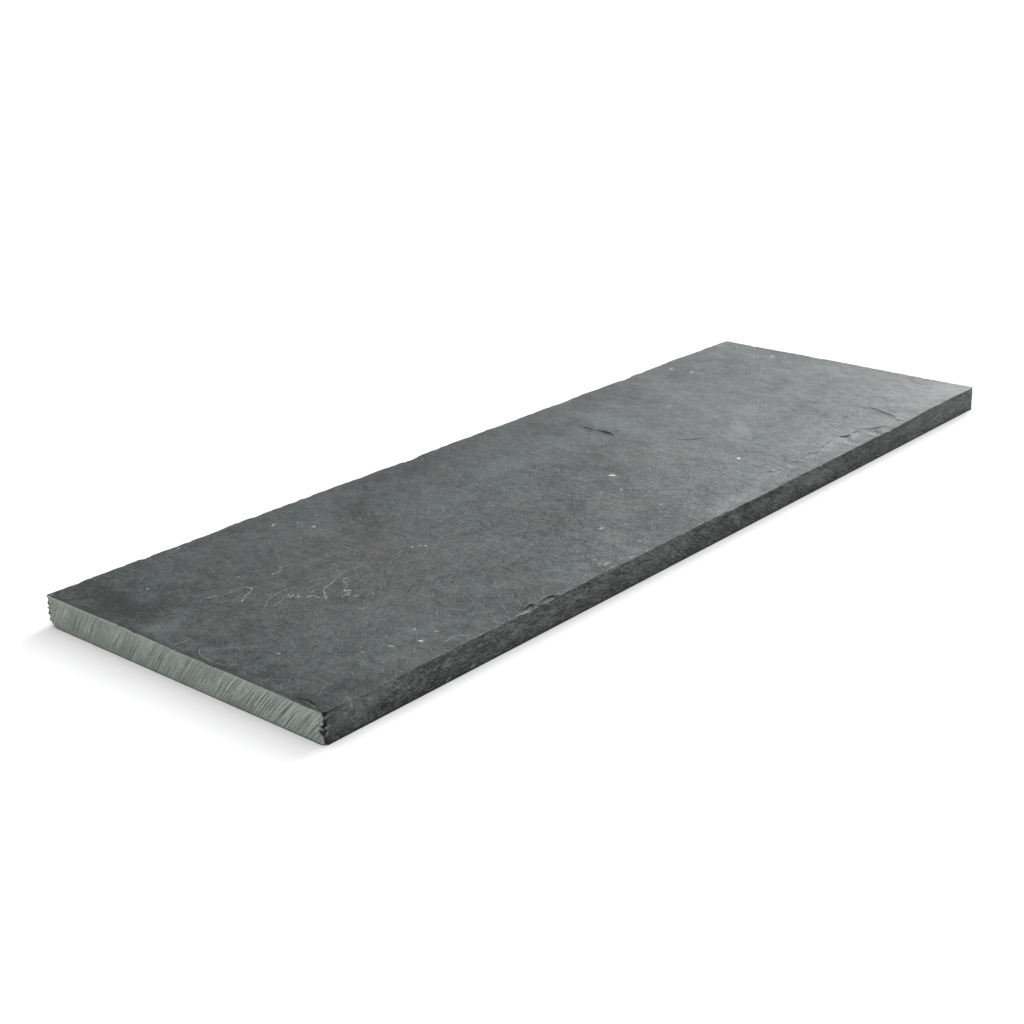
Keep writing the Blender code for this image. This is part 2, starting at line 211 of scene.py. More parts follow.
for number, flake in enumerate(flakes.values()):
    flake["line"] = roughLine(flake["step"], 0.013 * number)
    flake["outline"] = [point[:2] for point in flake["line"]] + [metres(place) for place in flake["rest"]]


def insideOutline(x, y, outline):
    inside = np.zeros(x.shape, bool)
    for (ax, ay), (bx, by) in zip(outline, outline[1:] + outline[:1]):
        if ay != by:
            crossing = (ay > y) != (by > y)
            inside ^= crossing & (x < (bx - ax) * (y - ay) / (by - ay) + ax)
    return inside


def alongLine(x, y, line):
    # distance to a line of (x, y, values), and its values at the nearest place
    nearest = np.full(x.shape, np.inf)
    values = np.zeros((len(line[0]) - 2, *x.shape))
    for a, b in zip(line, line[1:]):
        (ax, ay), (bx, by) = a[:2], b[:2]
        length2 = (bx - ax) ** 2 + (by - ay) ** 2
        t = np.clip(((x - ax) * (bx - ax) + (y - ay) * (by - ay)) / length2, 0, 1)
        distance = np.hypot(x - ax - t * (bx - ax), y - ay - t * (by - ay))
        closer = distance < nearest
        nearest[closer] = distance[closer]
        for value, start, end in zip(values, a[2:], b[2:]):
            value[closer] = (start + (end - start) * t)[closer]
    return nearest, values


def scarDepth(x, y):
    deepest = np.zeros(x.shape)
    for flake in flakes.values():
        inside = insideOutline(x, y, flake["outline"])
        if inside.any():
            distance, (depth, sharp) = alongLine(x[inside], y[inside], flake["line"])
            depth = depth * (sharp + (1 - sharp) * smoothStep(0.0, splitting["slopeRun"], distance))
            depth = depth - splitting["fadeDepth"] * distance / (flake["fade"] * mm)
            deepest[inside] = np.maximum(deepest[inside], depth)
    span = splitting["floorSpan"]
    rough = splitting["floorRough"] * (noiseAt(x / span, y / span, 4.4) + 0.5)
    return deepest + np.clip(rough, 0, None) * smoothStep(0.0, splitting["floorFrom"], deepest)


def surfaceHeight(x, y):
    return topHeight(x, y) - scarDepth(x, y)


# chips and worn arrises; each chip is a centre and three radii
chips = {
    "backNotch": (-60, 152, 25.2, 15, 5, 3.2), "backNear": (-358, 152, 25.2, 11, 4.2, 3),
    "backFar": (262, 152.5, 24, 14, 4.8, 3), "nearTop": (-451, -38, 25.2, 3, 8, 2.6),
    "nearTopBack": (-451.2, 60, 25.4, 2.6, 6, 2.2), "farTop": (451.2, 30, 24.6, 3, 9, 2.6),
    "frontLight": (-142, -151.2, 23.6, 5, 3.2, 2.2), "frontSmall": (-121, -151.2, 23.8, 3.4, 2.6, 2),
    "frontMiddle": (15, -151.2, 23.6, 8, 2.8, 2), "nearFrontFoot": (-450.8, -150.8, -0.6, 4.2, 4.2, 2.4),
}
# the saw broke out small scallops down the upright arrises: by end and side, height and radii
scallops = {
    (-1, -1): [
        (22.8, 4.2, 1.8, 1.8), (16.8, 3.4, 1, 2.6), (13.4, 3.2, 3.8, 1.4), (9, 1.8, 5.2, 2.3),
        (3.8, 3.4, 1, 2.6),
    ],
    (-1, 1): [(21.6, 2.2, 2.6, 2), (16.7, 2.2, 2.8, 1.4), (12.7, 2, 2.6, 1.3), (7.8, 2.2, 2.6, 2.2)],
    (1, 1): [(6, 2.2, 1.8, 2), (14, 2.4, 2, 2.2)],
}
# dark bits are painted shade in the broken notches about the upright arrises, and pale bits mostly painted
# highlights on the ridges between them: centre, radii, strength
shadeBits = [
    (-449.4, 148.6, 18.6, 3.4, 4.4, 2, 1), (-449.4, 148.9, 14.7, 3, 3.4, 1.3, 0.9),
    (-449.4, 148.4, 10.9, 3.4, 4.2, 1.8, 1), (-449.4, 149.2, 25, 2.4, 2.4, 1, 1),
    (-450, -147.6, 13.6, 1.5, 2.6, 1, 1), (-450, -147.2, 9, 1.5, 2.9, 1.9, 1),
]
paleBits = [
    (-448.4, -150, 19.9, 3.6, 2, 0.8, 0.4), (-447.4, -150, 12.5, 1.3, 2.4, 1.3, 1),
    (-446.9, -150, 8.4, 1.2, 2.2, 1.1, 0.6), (-448.2, -150, 7, 1.1, 2.2, 1.1, 0.5),
    (-308, -150, 3, 3.4, 2.5, 1.3, 0.35),
]
breakage = {
    "smallChips": 30, "smallChipSeed": 12, "smallChipSize": (0.0011, 0.0021),
    "cornerBreak": (0.034, 0.0095, 0.0056), "cornerRough": 0.0005, "cornerTone": -0.15,
    "raggedness": 0.22, "raggedSpan": 0.0018,
    "sideWear": 0.0003, "endWear": 0.00018, "uprightWear": 0.0003, "sideNibble": 1.6,
    "nibble": 0.0011, "nibbleSpan": 0.009, "nibbleFrom": 0.12,
    "crumble": 0.0007, "crumbleSpan": 0.0028,
    "chipToneDepth": 0.0006, "wornTone": 0.5, "wornToneDepth": 0.0004,
    "bitEdge": 2.2,            # how quickly a dark or pale bit of stone ends at its rim
}


def allChips():
    # (centre, radii, inward direction, tone) of every chip; a tone above 0 is a fresh break, below 0 painted
    # shade in a hollow
    found = []

    def add(centre, radii, tone):
        x, y, z = centre
        inward = Vector((-math.copysign(1, x) if abs(x) > endX else 0, 0, -1 if z > 0 else 1))
        if abs(y) > sideY:
            inward.y = -math.copysign(1, y)
        found.append((centre, radii, inward.normalized(), tone))

    for name, sizes in chips.items():
        add(metres(sizes[:3]), metres(sizes[3:]), 1.0 if name.startswith("front") else 0.35)
    rng = random.Random(breakage["smallChipSeed"])
    for i in range(breakage["smallChips"]):
        size = rng.uniform(*breakage["smallChipSize"])
        if i % 3:
            side = -1 if i % 3 == 1 else 1
            x = rng.uniform(-0.94, 0.94) * endX
            y = side * (sideY + 0.1 * size)
            radii = (rng.uniform(1.2, 3.0) * size, size, 0.8 * size)
        else:
            x = rng.choice((-1, 1)) * (endX + 0.1 * size)
            y = rng.uniform(-0.9, 0.9) * sideY
            radii = (size, rng.uniform(1.2, 2.6) * size, 0.8 * size)
        height = topHeight(np.array([x]), np.array([y]))[0] + 0.1 * size
        rng.uniform(0, math.tau)       # the solid's chip is also turned
        add((x, y, height), radii, 0.5)
    for (endSign, sideSign), bites in scallops.items():
        inward = Vector((-endSign, -sideSign, 0)).normalized()
        # the near front scallops are painted black as deep shade; the back ones are a little lighter
        tone = -1.0 if sideSign < 0 else 0.1
        for height, *radii in map(metres, bites):
            found.append(((endSign * endX, sideSign * sideY, height), radii, inward, tone))
    return found


def pushChips(points, tone):
    # each point inside a chip's ball slides inwards until it lies on the ball
    for centre, radii, inward, chipTone in allChips():
        centre, radii, inward = np.array(centre), np.array(radii), np.array(inward)
        near = np.nonzero((np.abs(points - centre) < 1.3 * radii).all(axis=1))[0]
        if not len(near):
            continue
        ragged = 1 + breakage["raggedness"] * noiseAt(*(points[near].T / breakage["raggedSpan"]))
        local = (points[near] - centre) / radii * ragged[:, None]
        inside = (local ** 2).sum(axis=1) < 1
        near, local, ragged = near[inside], local[inside], ragged[inside]
        way = inward / radii * ragged[:, None]
        a = (way ** 2).sum(axis=1)
        b = (local * way).sum(axis=1)
        c = (local ** 2).sum(axis=1) - 1
        reach = (-b + np.sqrt(b * b - a * c)) / a
        points[near] += reach[:, None] * inward
        tone[near] = chipTone * np.clip(reach / breakage["chipToneDepth"], 0, 1)


def wearArrises(points, x, y, rise, tone):
    # where two faces meet, points nearer the arris than the wear's width go back to a plane across it
    fromTop = (1 - rise) * surfaceHeight(x, y)
    fromSide = sideY - np.abs(y)
    fromEnd = endX - np.abs(x)
    nibbled = noiseAt(*(points.T / breakage["nibbleSpan"])) - breakage["nibbleFrom"]
    crumbled = noiseAt(*(points.T / breakage["crumbleSpan"]))
    nibble = breakage["nibble"] * np.clip(nibbled, 0, 1) + breakage["crumble"] * np.clip(crumbled, 0, 1)
    sideIn, endIn, zeros, down = -np.sign(y), -np.sign(x), np.zeros_like(x), -np.ones_like(x)
    for first, second, width, ways in (
        (fromTop, fromSide, breakage["sideWear"] + breakage["sideNibble"] * nibble, (zeros, sideIn, down)),
        (fromTop, fromEnd, breakage["endWear"] + nibble, (endIn, zeros, down)),
        (fromEnd, fromSide, breakage["uprightWear"] + nibble, (endIn, sideIn, zeros)),
    ):
        back = np.clip(width - first - second, 0, None) / 2
        points += back[:, None] * np.stack(ways, axis=1)
        tone += breakage["wornTone"] * np.clip(back / breakage["wornToneDepth"], 0, 1)


def breakCorner(points, tone):
    # the underside's near back corner is broken off along a plane
    along, across, up = breakage["cornerBreak"]
    normal = np.array((1 / along, -1 / across, 1 / up))
    normal /= np.linalg.norm(normal)
    height = (points - (-endX, sideY, 0.0)) @ normal - along * normal[0]
    near = height < 4 * breakage["cornerRough"]
    rough = np.zeros(len(points))
    rough[near] = breakage["cornerRough"] * (noiseAt(*(points[near].T / (2 * breakage["raggedSpan"]))) + 0.6)
    below = height < rough
    points[below] += (rough - height)[below, None] * normal
    tone[below] = breakage["cornerTone"]


def bitMask(points, bits):
    mask = np.zeros(len(points))
    for bit in bits:
        apart = np.linalg.norm((points / mm - bit[:3]) / bit[3:6], axis=1)
        mask = np.maximum(mask, bit[6] * np.clip(breakage["bitEdge"] * (1 - apart), 0, 1))
    return mask


def shapePoints(x, y, rise):
    height = rise * surfaceHeight(x, y)
    side = np.where(y < 0, -1.0, 1.0)
    reach = 1 - smoothStep(0.0, slab["hollowReach"], sideY - np.abs(y))
    points = np.stack((x, y - side * sideHollow(x, height, side) * reach, height), axis=1)
    tone = np.zeros(len(x))
    wearArrises(points, x, y, rise, tone)
    pushChips(points, tone)
    breakCorner(points, tone)
    dark, pale = bitMask(points, shadeBits), bitMask(points, paleBits)
    return points, tone * (1 - np.maximum(dark, pale)) - dark, pale


# pale marks on the top, as lines and spots of chalky dust and a few painted highlights: a line is its
# strength and places
chalkLines = {
    "hookTail": (0.4, [(-386, 48.7), (-381.6, 50.8), (-371, 47.5), (-362, 44.2), (-355, 45.4),
                       (-346.4, 43.5)]),
    "hook": (0.78, [(-346.4, 43.5), (-345.4, 38.4), (-349.6, 34.6), (-356.8, 31.4), (-365.5, 25.7)]),
    "tick": (0.75, [(-319.1, 45.7), (-314.5, 46.6), (-309.7, 46.7), (-305.5, 51.3)]),
    "tickTail": (0.3, [(-305.5, 51.3), (-299.9, 50.5), (-294, 47)]),
    "archLower": (0.34, [(-360.2, 6.3), (-351.3, 12.9), (-343.6, 15.7), (-334.1, 16.1), (-323.5, 14.2)]),
    "archInner": (0.35, [(-356, 1), (-350.5, 2.9), (-343, 4.6), (-338.1, 4.1)]),
    "threadNear": (0.55, [(-321.4, -17.2), (-315.3, -8), (-311, -4.2), (-306.6, -2.9), (-292.1, 2.3)]),
    "threadFar": (0.28, [(-292.1, 2.3), (-273.8, 7.9), (-262.6, 2.5), (-247.2, -3.8)]),
    "smallArch": (0.35, [(-310.8, 12), (-305, 14), (-300.8, 13.4), (-299, 7.7)]),
    "smallerArch": (0.3, [(-318.1, 4.9), (-312.6, 5.8), (-308.1, 4.7)]),
    "zigzag": (0.5, [(-285.9, -3.3), (-292.5, -4.4), (-294.9, -12.2), (-303.9, -18), (-306, -24.6),
                     (-313.4, -26.5)]),
    "dashRight": (0.45, [(-321.3, -50.4), (-319.5, -53.6), (-313.2, -53.8)]),
    "hookRight": (0.3, [(-295.1, -35.3), (-295.7, -41), (-300.5, -44)]),
    "nearDash": (0.42, [(-443, 7.5), (-439.3, 5.7), (-436.5, 4.2), (-431, 5.6)]),
    "loopUpper": (0.25, [(-418, -33), (-425, -26.5), (-432.7, -19.4), (-437, -13.9), (-441.4, -17.4)]),
    "loopLower": (0.36, [(-441.4, -17.4), (-443.9, -24.8), (-444.3, -39.7), (-442.2, -47.6), (-437, -54)]),
    "faintLeft": (0.2, [(-367.2, 84.4), (-360.1, 85.9), (-353, 85.4)]),
    "faintMiddle": (0.25, [(-335.3, 38.7), (-330.9, 36.8), (-328.2, 29.5)]),
    # the three rim lines are painted highlights along the upper edges of flakes
    "cornerRim": (0.12, [(-445.1, -130.5), (-445.9, -135.6), (-446.3, -138.4), (-447.6, -141.2)]),
    "leftRim": (0.35, [(-243, -142.6), (-239, -141.6), (-235, -140.9), (-231.5, -142.6)]),
    "rightRim": (0.35, [(-229, -144.2), (-224.5, -143.1), (-219.5, -142.6), (-214.6, -142.9)]),
    "leftFoot": (0.85, [(-258.2, -147.9), (-254.7, -148.9), (-249.5, -149.2)]),
    "rightFoot": (0.4, [(-249, -149.1), (-243, -149.2), (-238.5, -149.1)]),
    "curl": (0.5, [(-323.5, -137.9), (-316.3, -136.3), (-310.8, -137.5), (-306.8, -141.7),
                   (-308.4, -146.3)]),
}
# spots and patches: place, half length, half width, turn in degrees, strength
# some chalk spots, on the facets of chips at the front arris, are painted highlights
chalkSpots = [
    (-408.6, -61.9, 2.2, 1, -50, 0.65), (-351.4, -113.4, 3.6, 1.5, -62, 0.75),
    (-332.4, -123.6, 3.4, 1.7, -48, 0.85), (-321.5, -107.4, 1.9, 0.9, -45, 0.9),
    (-314, -121.4, 2.4, 1.1, -50, 0.7), (-370.4, -105, 2.8, 1, -50, 0.4), (-336.9, 7.2, 1.4, 0.9, 20, 0.9),
    (-336.2, 3.8, 1.6, 0.9, -30, 1), (-331.3, 3, 1.5, 0.9, 60, 1), (-333.8, -0.4, 1.8, 0.8, -40, 0.9),
    (-333.5, 6, 1.2, 0.8, 10, 0.8), (-329.6, -6.6, 1.5, 0.9, -50, 1), (-326.5, -7.5, 1.6, 0.8, -30, 0.9),
    (-321, -2, 1, 0.7, 0, 0.7), (-326.6, -12.4, 2.2, 0.8, -50, 1), (-321.9, -16, 1.6, 0.9, -50, 1),
    (-312.4, -24.2, 1.1, 0.8, 0, 0.7), (-303.2, -21.2, 1.9, 0.8, -40, 1), (-307.4, -26, 1.7, 0.9, -20, 0.9),
    (-306.5, -32.6, 1.8, 0.7, -40, 0.9), (-338.3, 61.7, 1.3, 0.8, 0, 0.6), (-395.6, 98.2, 2, 1.6, 0, 0.5),
    (-248.5, 122.6, 4.4, 1.9, 28, 0.75), (-232.4, 111.5, 2.2, 1.5, 30, 0.5),
    (-210.3, 111.5, 2.4, 1.6, 20, 0.5), (-230, 93.8, 2.4, 1.8, -30, 0.6),
    (-329.4, 144.4, 1.8, 1.4, -60, 0.7), (-212.5, 0.6, 2, 1.1, -30, 1), (-206.6, -3, 1.8, 1, -30, 1),
    (-204, -6.1, 1.8, 1, -30, 0.9), (-88.2, -92.1, 4.2, 1.6, -14, 0.75), (-14.7, -97.7, 3.2, 1.6, 18, 0.55),
    (-6.1, -50, 3.8, 1.8, 25, 0.55), (24.3, -81.2, 4, 1.4, 0, 0.35), (91.7, 59.1, 1.9, 1.4, 40, 0.9),
    (54.5, 33.6, 5, 2, 20, 0.3), (319, 130.6, 8, 2, 35, 0.5), (323.5, 107.1, 6, 2, 35, 0.55),
    (425, 73.2, 9, 2, 30, 0.45), (209, 56.2, 9, 1.5, 5, 0.4), (-447.3, 146, 2, 1.5, 0, 1),
    (-144, -140, 4, 2.2, 10, 0.6), (-146.4, -136, 2.2, 1, -15, 0.8), (-150, -137.8, 1.7, 1, -15, 0.7),
    (-141.4, -136, 2.6, 1, -10, 0.9), (-140, -139, 1.9, 0.9, -15, 0.9), (-141.3, -142.6, 1.6, 0.8, -20, 0.5),
    (-145, -147.3, 3, 1, -10, 0.5), (-142.5, -128, 1.4, 0.8, -30, 0.4), (-117.2, -140.8, 1.7, 0.9, -20, 0.7),
    (-113.2, -142.6, 1.7, 1, -20, 0.8), (-120.7, -146.3, 2.2, 1, -10, 1), (-118.2, -147.5, 2, 1, 0, 1),
    (-128.6, -142.6, 1.6, 0.9, -10, 0.5), (-109.5, -123.7, 1.9, 1.2, -30, 0.8),
    (-89.8, -132, 1.4, 0.9, 0, 0.7), (-101.1, -147.6, 2.6, 1.3, 0, 0.55), (-106.3, -141.4, 1.8, 1, 0, 0.5),
    (-230.5, -143.3, 1.3, 0.8, 0, 0.6), (-238.2, -149.2, 1.4, 0.8, 0, 0.9),
    (-210.9, -147.1, 3.4, 1, 0, 0.45), (-445.9, -136.4, 1.2, 0.7, -60, 0.25),
    (-446.1, -138.4, 1, 0.7, -60, 0.3), (-246, -147.3, 8, 1.2, 5, 0.3), (-224.6, -148.3, 8, 1, -2, 0.3),
    (-338.8, 3.2, 1, 0.6, 0, 0.8), (-334.7, -2, 1.2, 0.7, -40, 0.9), (-331.4, 2.6, 1, 0.6, 20, 0.8),
    (-337.3, -1.6, 1, 0.6, 0, 0.6), (-330.6, -7.3, 1.2, 0.6, -40, 0.9), (-327.2, -5.8, 1, 0.6, -30, 0.8),
    (-323, -3.4, 1.1, 0.7, 0, 0.8), (-325.7, -9.5, 1.4, 0.6, -40, 0.9), (-326, -14.3, 1.3, 0.6, -40, 0.9),
    (-323.5, -19.3, 1.5, 0.8, -60, 1), (-316.8, -10.2, 1.3, 0.6, -60, 0.7),
    (-305.7, -19.5, 1.2, 0.8, -50, 1), (-302.4, -22.5, 1.2, 0.7, -50, 1), (-310, -26.1, 1.1, 0.6, 0, 0.9),
    (-309.3, -28.6, 1.1, 0.6, 0, 0.8), (-308.4, -32.9, 1.1, 0.6, -40, 0.9),
    (-305.6, -35.3, 1, 0.6, -40, 0.8), (-313.7, -26.1, 1, 0.6, 0, 0.8), (-295.2, -8.6, 1.2, 0.7, -60, 0.6),
    (-232.8, 94.7, 1.4, 0.9, 0, 0.9), (-229.3, 94.4, 1.2, 0.8, 0, 0.8), (-232, 84.9, 1.3, 0.8, 0, 0.6),
]
# the dark spots are painted shade in chips and along ledges
darkSpots = [
    (-145.9, -127.6, 2.4, 0.9, -60, 0.8), (-145.6, -131.7, 3.2, 0.9, -35, 0.8),
    (-143.1, -134.6, 2, 0.8, -20, 0.8), (-143.6, -141.4, 1.6, 0.8, 0, 0.9),
    (-135.7, -133.5, 1.8, 0.8, -20, 0.6), (-124.7, -148.6, 2.2, 1, 0, 0.9),
    (-124.6, -144.4, 1.5, 0.8, 0, 0.7), (-206, -148, 2.8, 1.2, -20, 1), (-238, -146.6, 3, 0.6, -10, 0.5),
    (102, -132.5, 5, 0.8, -58, 0.5), (-234.2, -147, 1.2, 1.4, 0, 0.8), (-444.4, -125, 1.6, 0.9, -70, 0.8),
]
creamSpots = [
    (17.3, -22, 4.2, 2.4, -55, 1), (123.3, -83.8, 3.4, 2.2, 40, 0.9), (-332.4, -123.8, 1.5, 0.9, 0, 0.5),
]
# broad patches lighter or darker than the stone round them, and warmer ones
tonePatches = [
    (-428, 96, 46, 19, 82, -0.9), (-410, 68, 26, 14, -20, -0.7), (-437, 32, 19, 13, 10, 0.75),
    (-446, -62, 42, 7, 90, -0.7), (-444, -124, 14, 8, 80, -1), (-418, -30, 20, 5, -48, 0.4),
    (-60, 132, 88, 18, 0, -0.3), (-184, 78, 42, 13, 84, -0.25), (-28, 68, 40, 20, 12, 0.75),
    (-14, 56, 10, 8, 40, 0.8), (137, 70, 44, 20, 82, 0.9), (86, 118, 30, 9, 74, -0.4),
    (60, 80, 26, 14, 84, 0.4), (18, 4, 46, 12, -64, -0.5), (-58, -42, 20, 15, 60, -0.35),
    (-46, -110, 26, 10, -60, -0.15), (186, -42, 42, 13, 24, 0.75), (285, -52, 40, 11, 12, -0.4),
    (352, 18, 40, 15, 20, -0.35), (166, 124, 24, 14, 0, -0.4), (-98, -112, 20, 16, 30, 0.4),
    (-140, -24, 22, 24, 0, -0.1), (-232, 84, 36, 11, 86, 0.4), (-240, -143, 10, 4, 8, -0.7),
    (-146, -124, 9, 7, 40, -0.6), (-322, -144, 10, 5, 10, -0.5), (-330, -112, 30, 14, -30, 0.3),
    (60, -142, 70, 8, 0, 0.5), (-175, -130, 34, 22, 0, 0.35), (400, -135, 50, 12, 0, 0.3),
    (230, -105, 60, 34, 0, 0.15), (-270, 20, 60, 30, 30, 0.15), (440, 0, 20, 150, 0, -0.45),
    (240, 100, 50, 9, 30, 0.25), (283, -18, 30, 14, 10, -0.35), (-430, -80, 14, 24, 0, -0.5),
    (-292, 141, 30, 9, 0, -0.45), (310, -75, 120, 60, 0, -0.2), (150, 2, 16, 12, 0, -0.35),
    (-418, -138, 36, 15, 0, -0.6), (-392, -146, 26, 6, 0, -0.8),
]
warmPatches = [
    (-285, 20, 130, 140, 0, 0.16), (-310, 146, 100, 14, 0, 0.14), (425, -65, 38, 90, 0, 0.18),
]
# tone patches and dark splits on the front side, by x and height; the splits are painted deep shade
sidePatches = [
    (-425, 17, 30, 13, 0, 0.9), (-330, 12, 40, 14, 0, -0.1), (-262, 13, 34, 8, 5, 0.45),
    (-225, 8, 12, 6, 0, 0.35), (-165, 14, 14, 5, -25, -0.3), (-60, 16, 40, 7, 0, 0.4),
    (45, 19, 34, 4.5, 0, -1), (150, 12, 34, 7, 0, 0.7), (240, 19, 22, 5, 0, -0.5), (400, 12, 80, 16, 0, 0.9),
    (330, 14, 60, 8, 0, 0.35), (-15, 10, 18, 6, 0, -0.3), (195, 3, 24, 3.5, 0, -0.35),
    (74, 17, 12, 3, -20, -0.4), (-404, 20, 24, 7, 0, 1), (-205, 15, 34, 8, 0, 0.3), (-285, 7, 18, 6, 0, 0.3),
]
sideSpots = [
    (-442.7, 18.4, 3.6, 1.1, -35, 0.7), (-438.6, 16.4, 3, 1, -25, 0.7), (-440.8, 15.3, 3.8, 1, -20, 0.6),
    (-435.5, 13.6, 2.6, 1, -30, 0.5), (-426.5, 6.2, 1.6, 1, 0, 0.8), (-432, 6.8, 2, 1, -20, 0.6),
    (-434.9, 5.2, 2, 1.3, -10, 0.7), (-438, 4.2, 1.8, 1, 0, 0.6), (-421.2, 22.3, 2.2, 1, -30, 0.6),
    (-414.6, 21.4, 2.4, 1, -20, 0.6), (-402, 18.9, 2.4, 1, -40, 0.8), (-398.6, 20.2, 1.8, 0.9, -40, 0.8),
    (-394.7, 22.2, 2, 0.9, -30, 0.8), (-410, 19.4, 2, 0.9, -30, 0.5), (-381.2, 13, 2.2, 1, 0, 0.7),
    (-386, 12.7, 1.8, 0.9, 0, 0.7), (-369.6, 15.1, 3.2, 1.2, 10, 1), (-367.9, 11.4, 2, 0.9, -30, 0.8),
    (-362.8, 14.7, 1.6, 0.8, 0, 0.8), (-371.6, 13, 2, 0.8, 0, 0.9), (4.9, 18.6, 7.5, 2.8, -15, 1),
    (35.6, 20, 7.5, 2.4, 0, 1), (-2.3, 15.1, 5, 2, -15, 1), (34.3, 8.9, 12, 3, -27, 1),
    (-34, 18.9, 6.5, 2.3, 0, 1), (-20.5, 15.6, 3, 1.5, 0, 0.7), (21.8, 18.5, 3, 1.5, 0, 0.7),
    (-14.6, 10.2, 2.5, 1.3, 0, 0.7), (75.3, 18.6, 8, 2.3, -20, 1), (84.3, 17.2, 6.5, 2, -25, 1),
    (53.8, 19.2, 10, 2.8, -5, 1), (91.2, 18.6, 6, 2.3, 0, 0.8), (-19.1, 6.6, 5, 2, 0, 0.9),
    (-305, 17.6, 6, 2.2, -10, 0.5), (-317.7, 18.4, 5, 2, 0, 0.5), (-262.9, 5.7, 6, 2.2, 0, 0.5),
    (-143.9, 18.8, 6, 2, -10, 0.6), (-115.9, 16.1, 4, 1.6, 0, 0.5), (-97.5, 9.2, 4, 1.6, 0, 0.5),
]
marking = {
    "line": 0.00058, "pointGap": 0.0018, "wander": 0.0005, "wanderSpan": 0.004,
    "spotEdge": 1.6, "patchEdge": 1.25,
    "patchBend": 0.27, "topBend": 0.022, "warmBend": 0.050, "sideBend": 0.008,
}


def chalkLine(places):
    # a smooth curve through the places, a little unsteady
    places = [Vector((x * mm, y * mm)) for x, y in places]
    places = [2 * places[0] - places[1]] + places + [2 * places[-1] - places[-2]]
    line = []
    for a, b, c, d in zip(places, places[1:], places[2:], places[3:]):
        count = max(1, round((c - b).length / marking["pointGap"]))
        for i in range(count):
            t = i / count
            line.append(0.5 * (2 * b + (c - a) * t + (2 * a - 5 * b + 4 * c - d) * t ** 2
                               + (3 * b - a - 3 * c + d) * t ** 3))
    line.append(places[-2])
    span = marking["wanderSpan"]
    for i, point in enumerate(line):
        shift = marking["wander"] * noise.noise((point.x / span, point.y / span, 2.2))
        line[i] = point + shift * acrossLine(line, i)
    return line


chalkPaths = [(strength, chalkLine(places)) for strength, places in chalkLines.values()]


def spotFrame(spot):
    x, y, long, short, turn, strength = spot
    angle = math.radians(turn)
    return Vector((x, y)) * mm, long * mm, short * mm, Vector((math.cos(angle), math.sin(angle))), strength


def apartFrom(spot, x, y):
    # how far points are from a spot's centre, 1 at its rim
    centre, long, short, way, _ = spotFrame(spot)
    dx, dy = x - centre.x, y - centre.y
    return np.hypot((dx * way.x + dy * way.y) / long, (dy * way.x - dx * way.y) / short)


def spotMask(x, y, spots):
    mask = np.zeros(x.shape)
    for spot in spots:
        mask = np.maximum(mask, spot[5] * np.clip(marking["spotEdge"] * (1 - apartFrom(spot, x, y)), 0, 1))
    return mask


def patchTone(x, y, patches, span):
    bend = marking["patchBend"] * span
    bentX, bentY = (place + bend * noiseAt(x / span, y / span, seed) for place, seed in ((x, 4.4), (y, 7.9)))
    tone = 0
    for patch in patches:
        tone = tone + patch[5] * smoothStep(0.0, 1.0, marking["patchEdge"] - apartFrom(patch, bentX, bentY))
    return tone


def chalkMask(x, y):
    mask = spotMask(x, y, chalkSpots)
    reach = 4 * marking["line"]
    for strength, path in chalkPaths:
        xs, ys = zip(*path)
        near = (x > min(xs) - reach) & (x < max(xs) + reach) & (y > min(ys) - reach) & (y < max(ys) + reach)
        distance, _ = alongLine(x[near], y[near], [tuple(point) for point in path])
        mask[near] = np.maximum(mask[near], strength * np.clip(1 - distance / marking["line"], 0, 1))
    return mask


def stepShade(x, y):
    shade = np.zeros(x.shape)
    for flake in flakes.values():
        distance, (depth, sharp) = alongLine(x, y, flake["line"])
        dark = splitting["shade"] * np.clip(depth * sharp / splitting["shadeDepth"], 0, 1)
        shade = np.maximum(shade, dark * np.clip(1 - distance / splitting["shadeWidth"], 0, 1))
    return shade


# the mesh: a net of triangles over the top that follows steps and marks, and grids on the other faces

meshing = {
    "topGap": 0.0026, "jitter": 0.28, "seed": 5,
    "columnGap": 0.0019, "endGap": 0.0012, "columnClear": 0.0004,
    "cornerSteps": (0.0005, 0.0010, 0.0016, 0.0023, 0.0031, 0.0041, 0.0054),
    "arrisRings": (0.0006, 0.0015, 0.0028), "ringClear": 0.0005,
    "spotRings": ((0.0, 1), (0.45, 5), (1.0, 8)), "spotClear": 0.001,
    "rows": 25, "rowBias": 0.16,
    "underGap": 0.020,
    "clear": 0.0006,           # a step's points keep this far from the slab's edges
    "sharpAngle": 34,
}


def onSlab(place, margin):
    return abs(place[0]) < endX - margin and abs(place[1]) < sideY - margin


def clipLine(line):
    # the part of a line that lies on the slab, ending exactly on its edge
    clipped, crossings = [], []
    for here, ahead in zip(line, line[1:]):
        if onSlab(here, meshing["clear"]):
            clipped.append(tuple(here))
        if onSlab(here, 0) != onSlab(ahead, 0):
            inner, outer = (here, ahead) if onSlab(here, 0) else (ahead, here)
            for _ in range(40):
                middle = ((inner[0] + outer[0]) / 2, (inner[1] + outer[1]) / 2)
                inner, outer = (middle, outer) if onSlab(middle, 0) else (inner, middle)
            x, y = outer
            atEnd = abs(abs(x) - endX) < 1e-7
            edge = (math.copysign(endX, x), round(y, 7)) if atEnd else (round(x, 7), math.copysign(sideY, y))
            clipped.append(edge)
            crossings.append(edge)
    if onSlab(line[-1], meshing["clear"]):
        clipped.append(tuple(line[-1]))
    return clipped, crossings


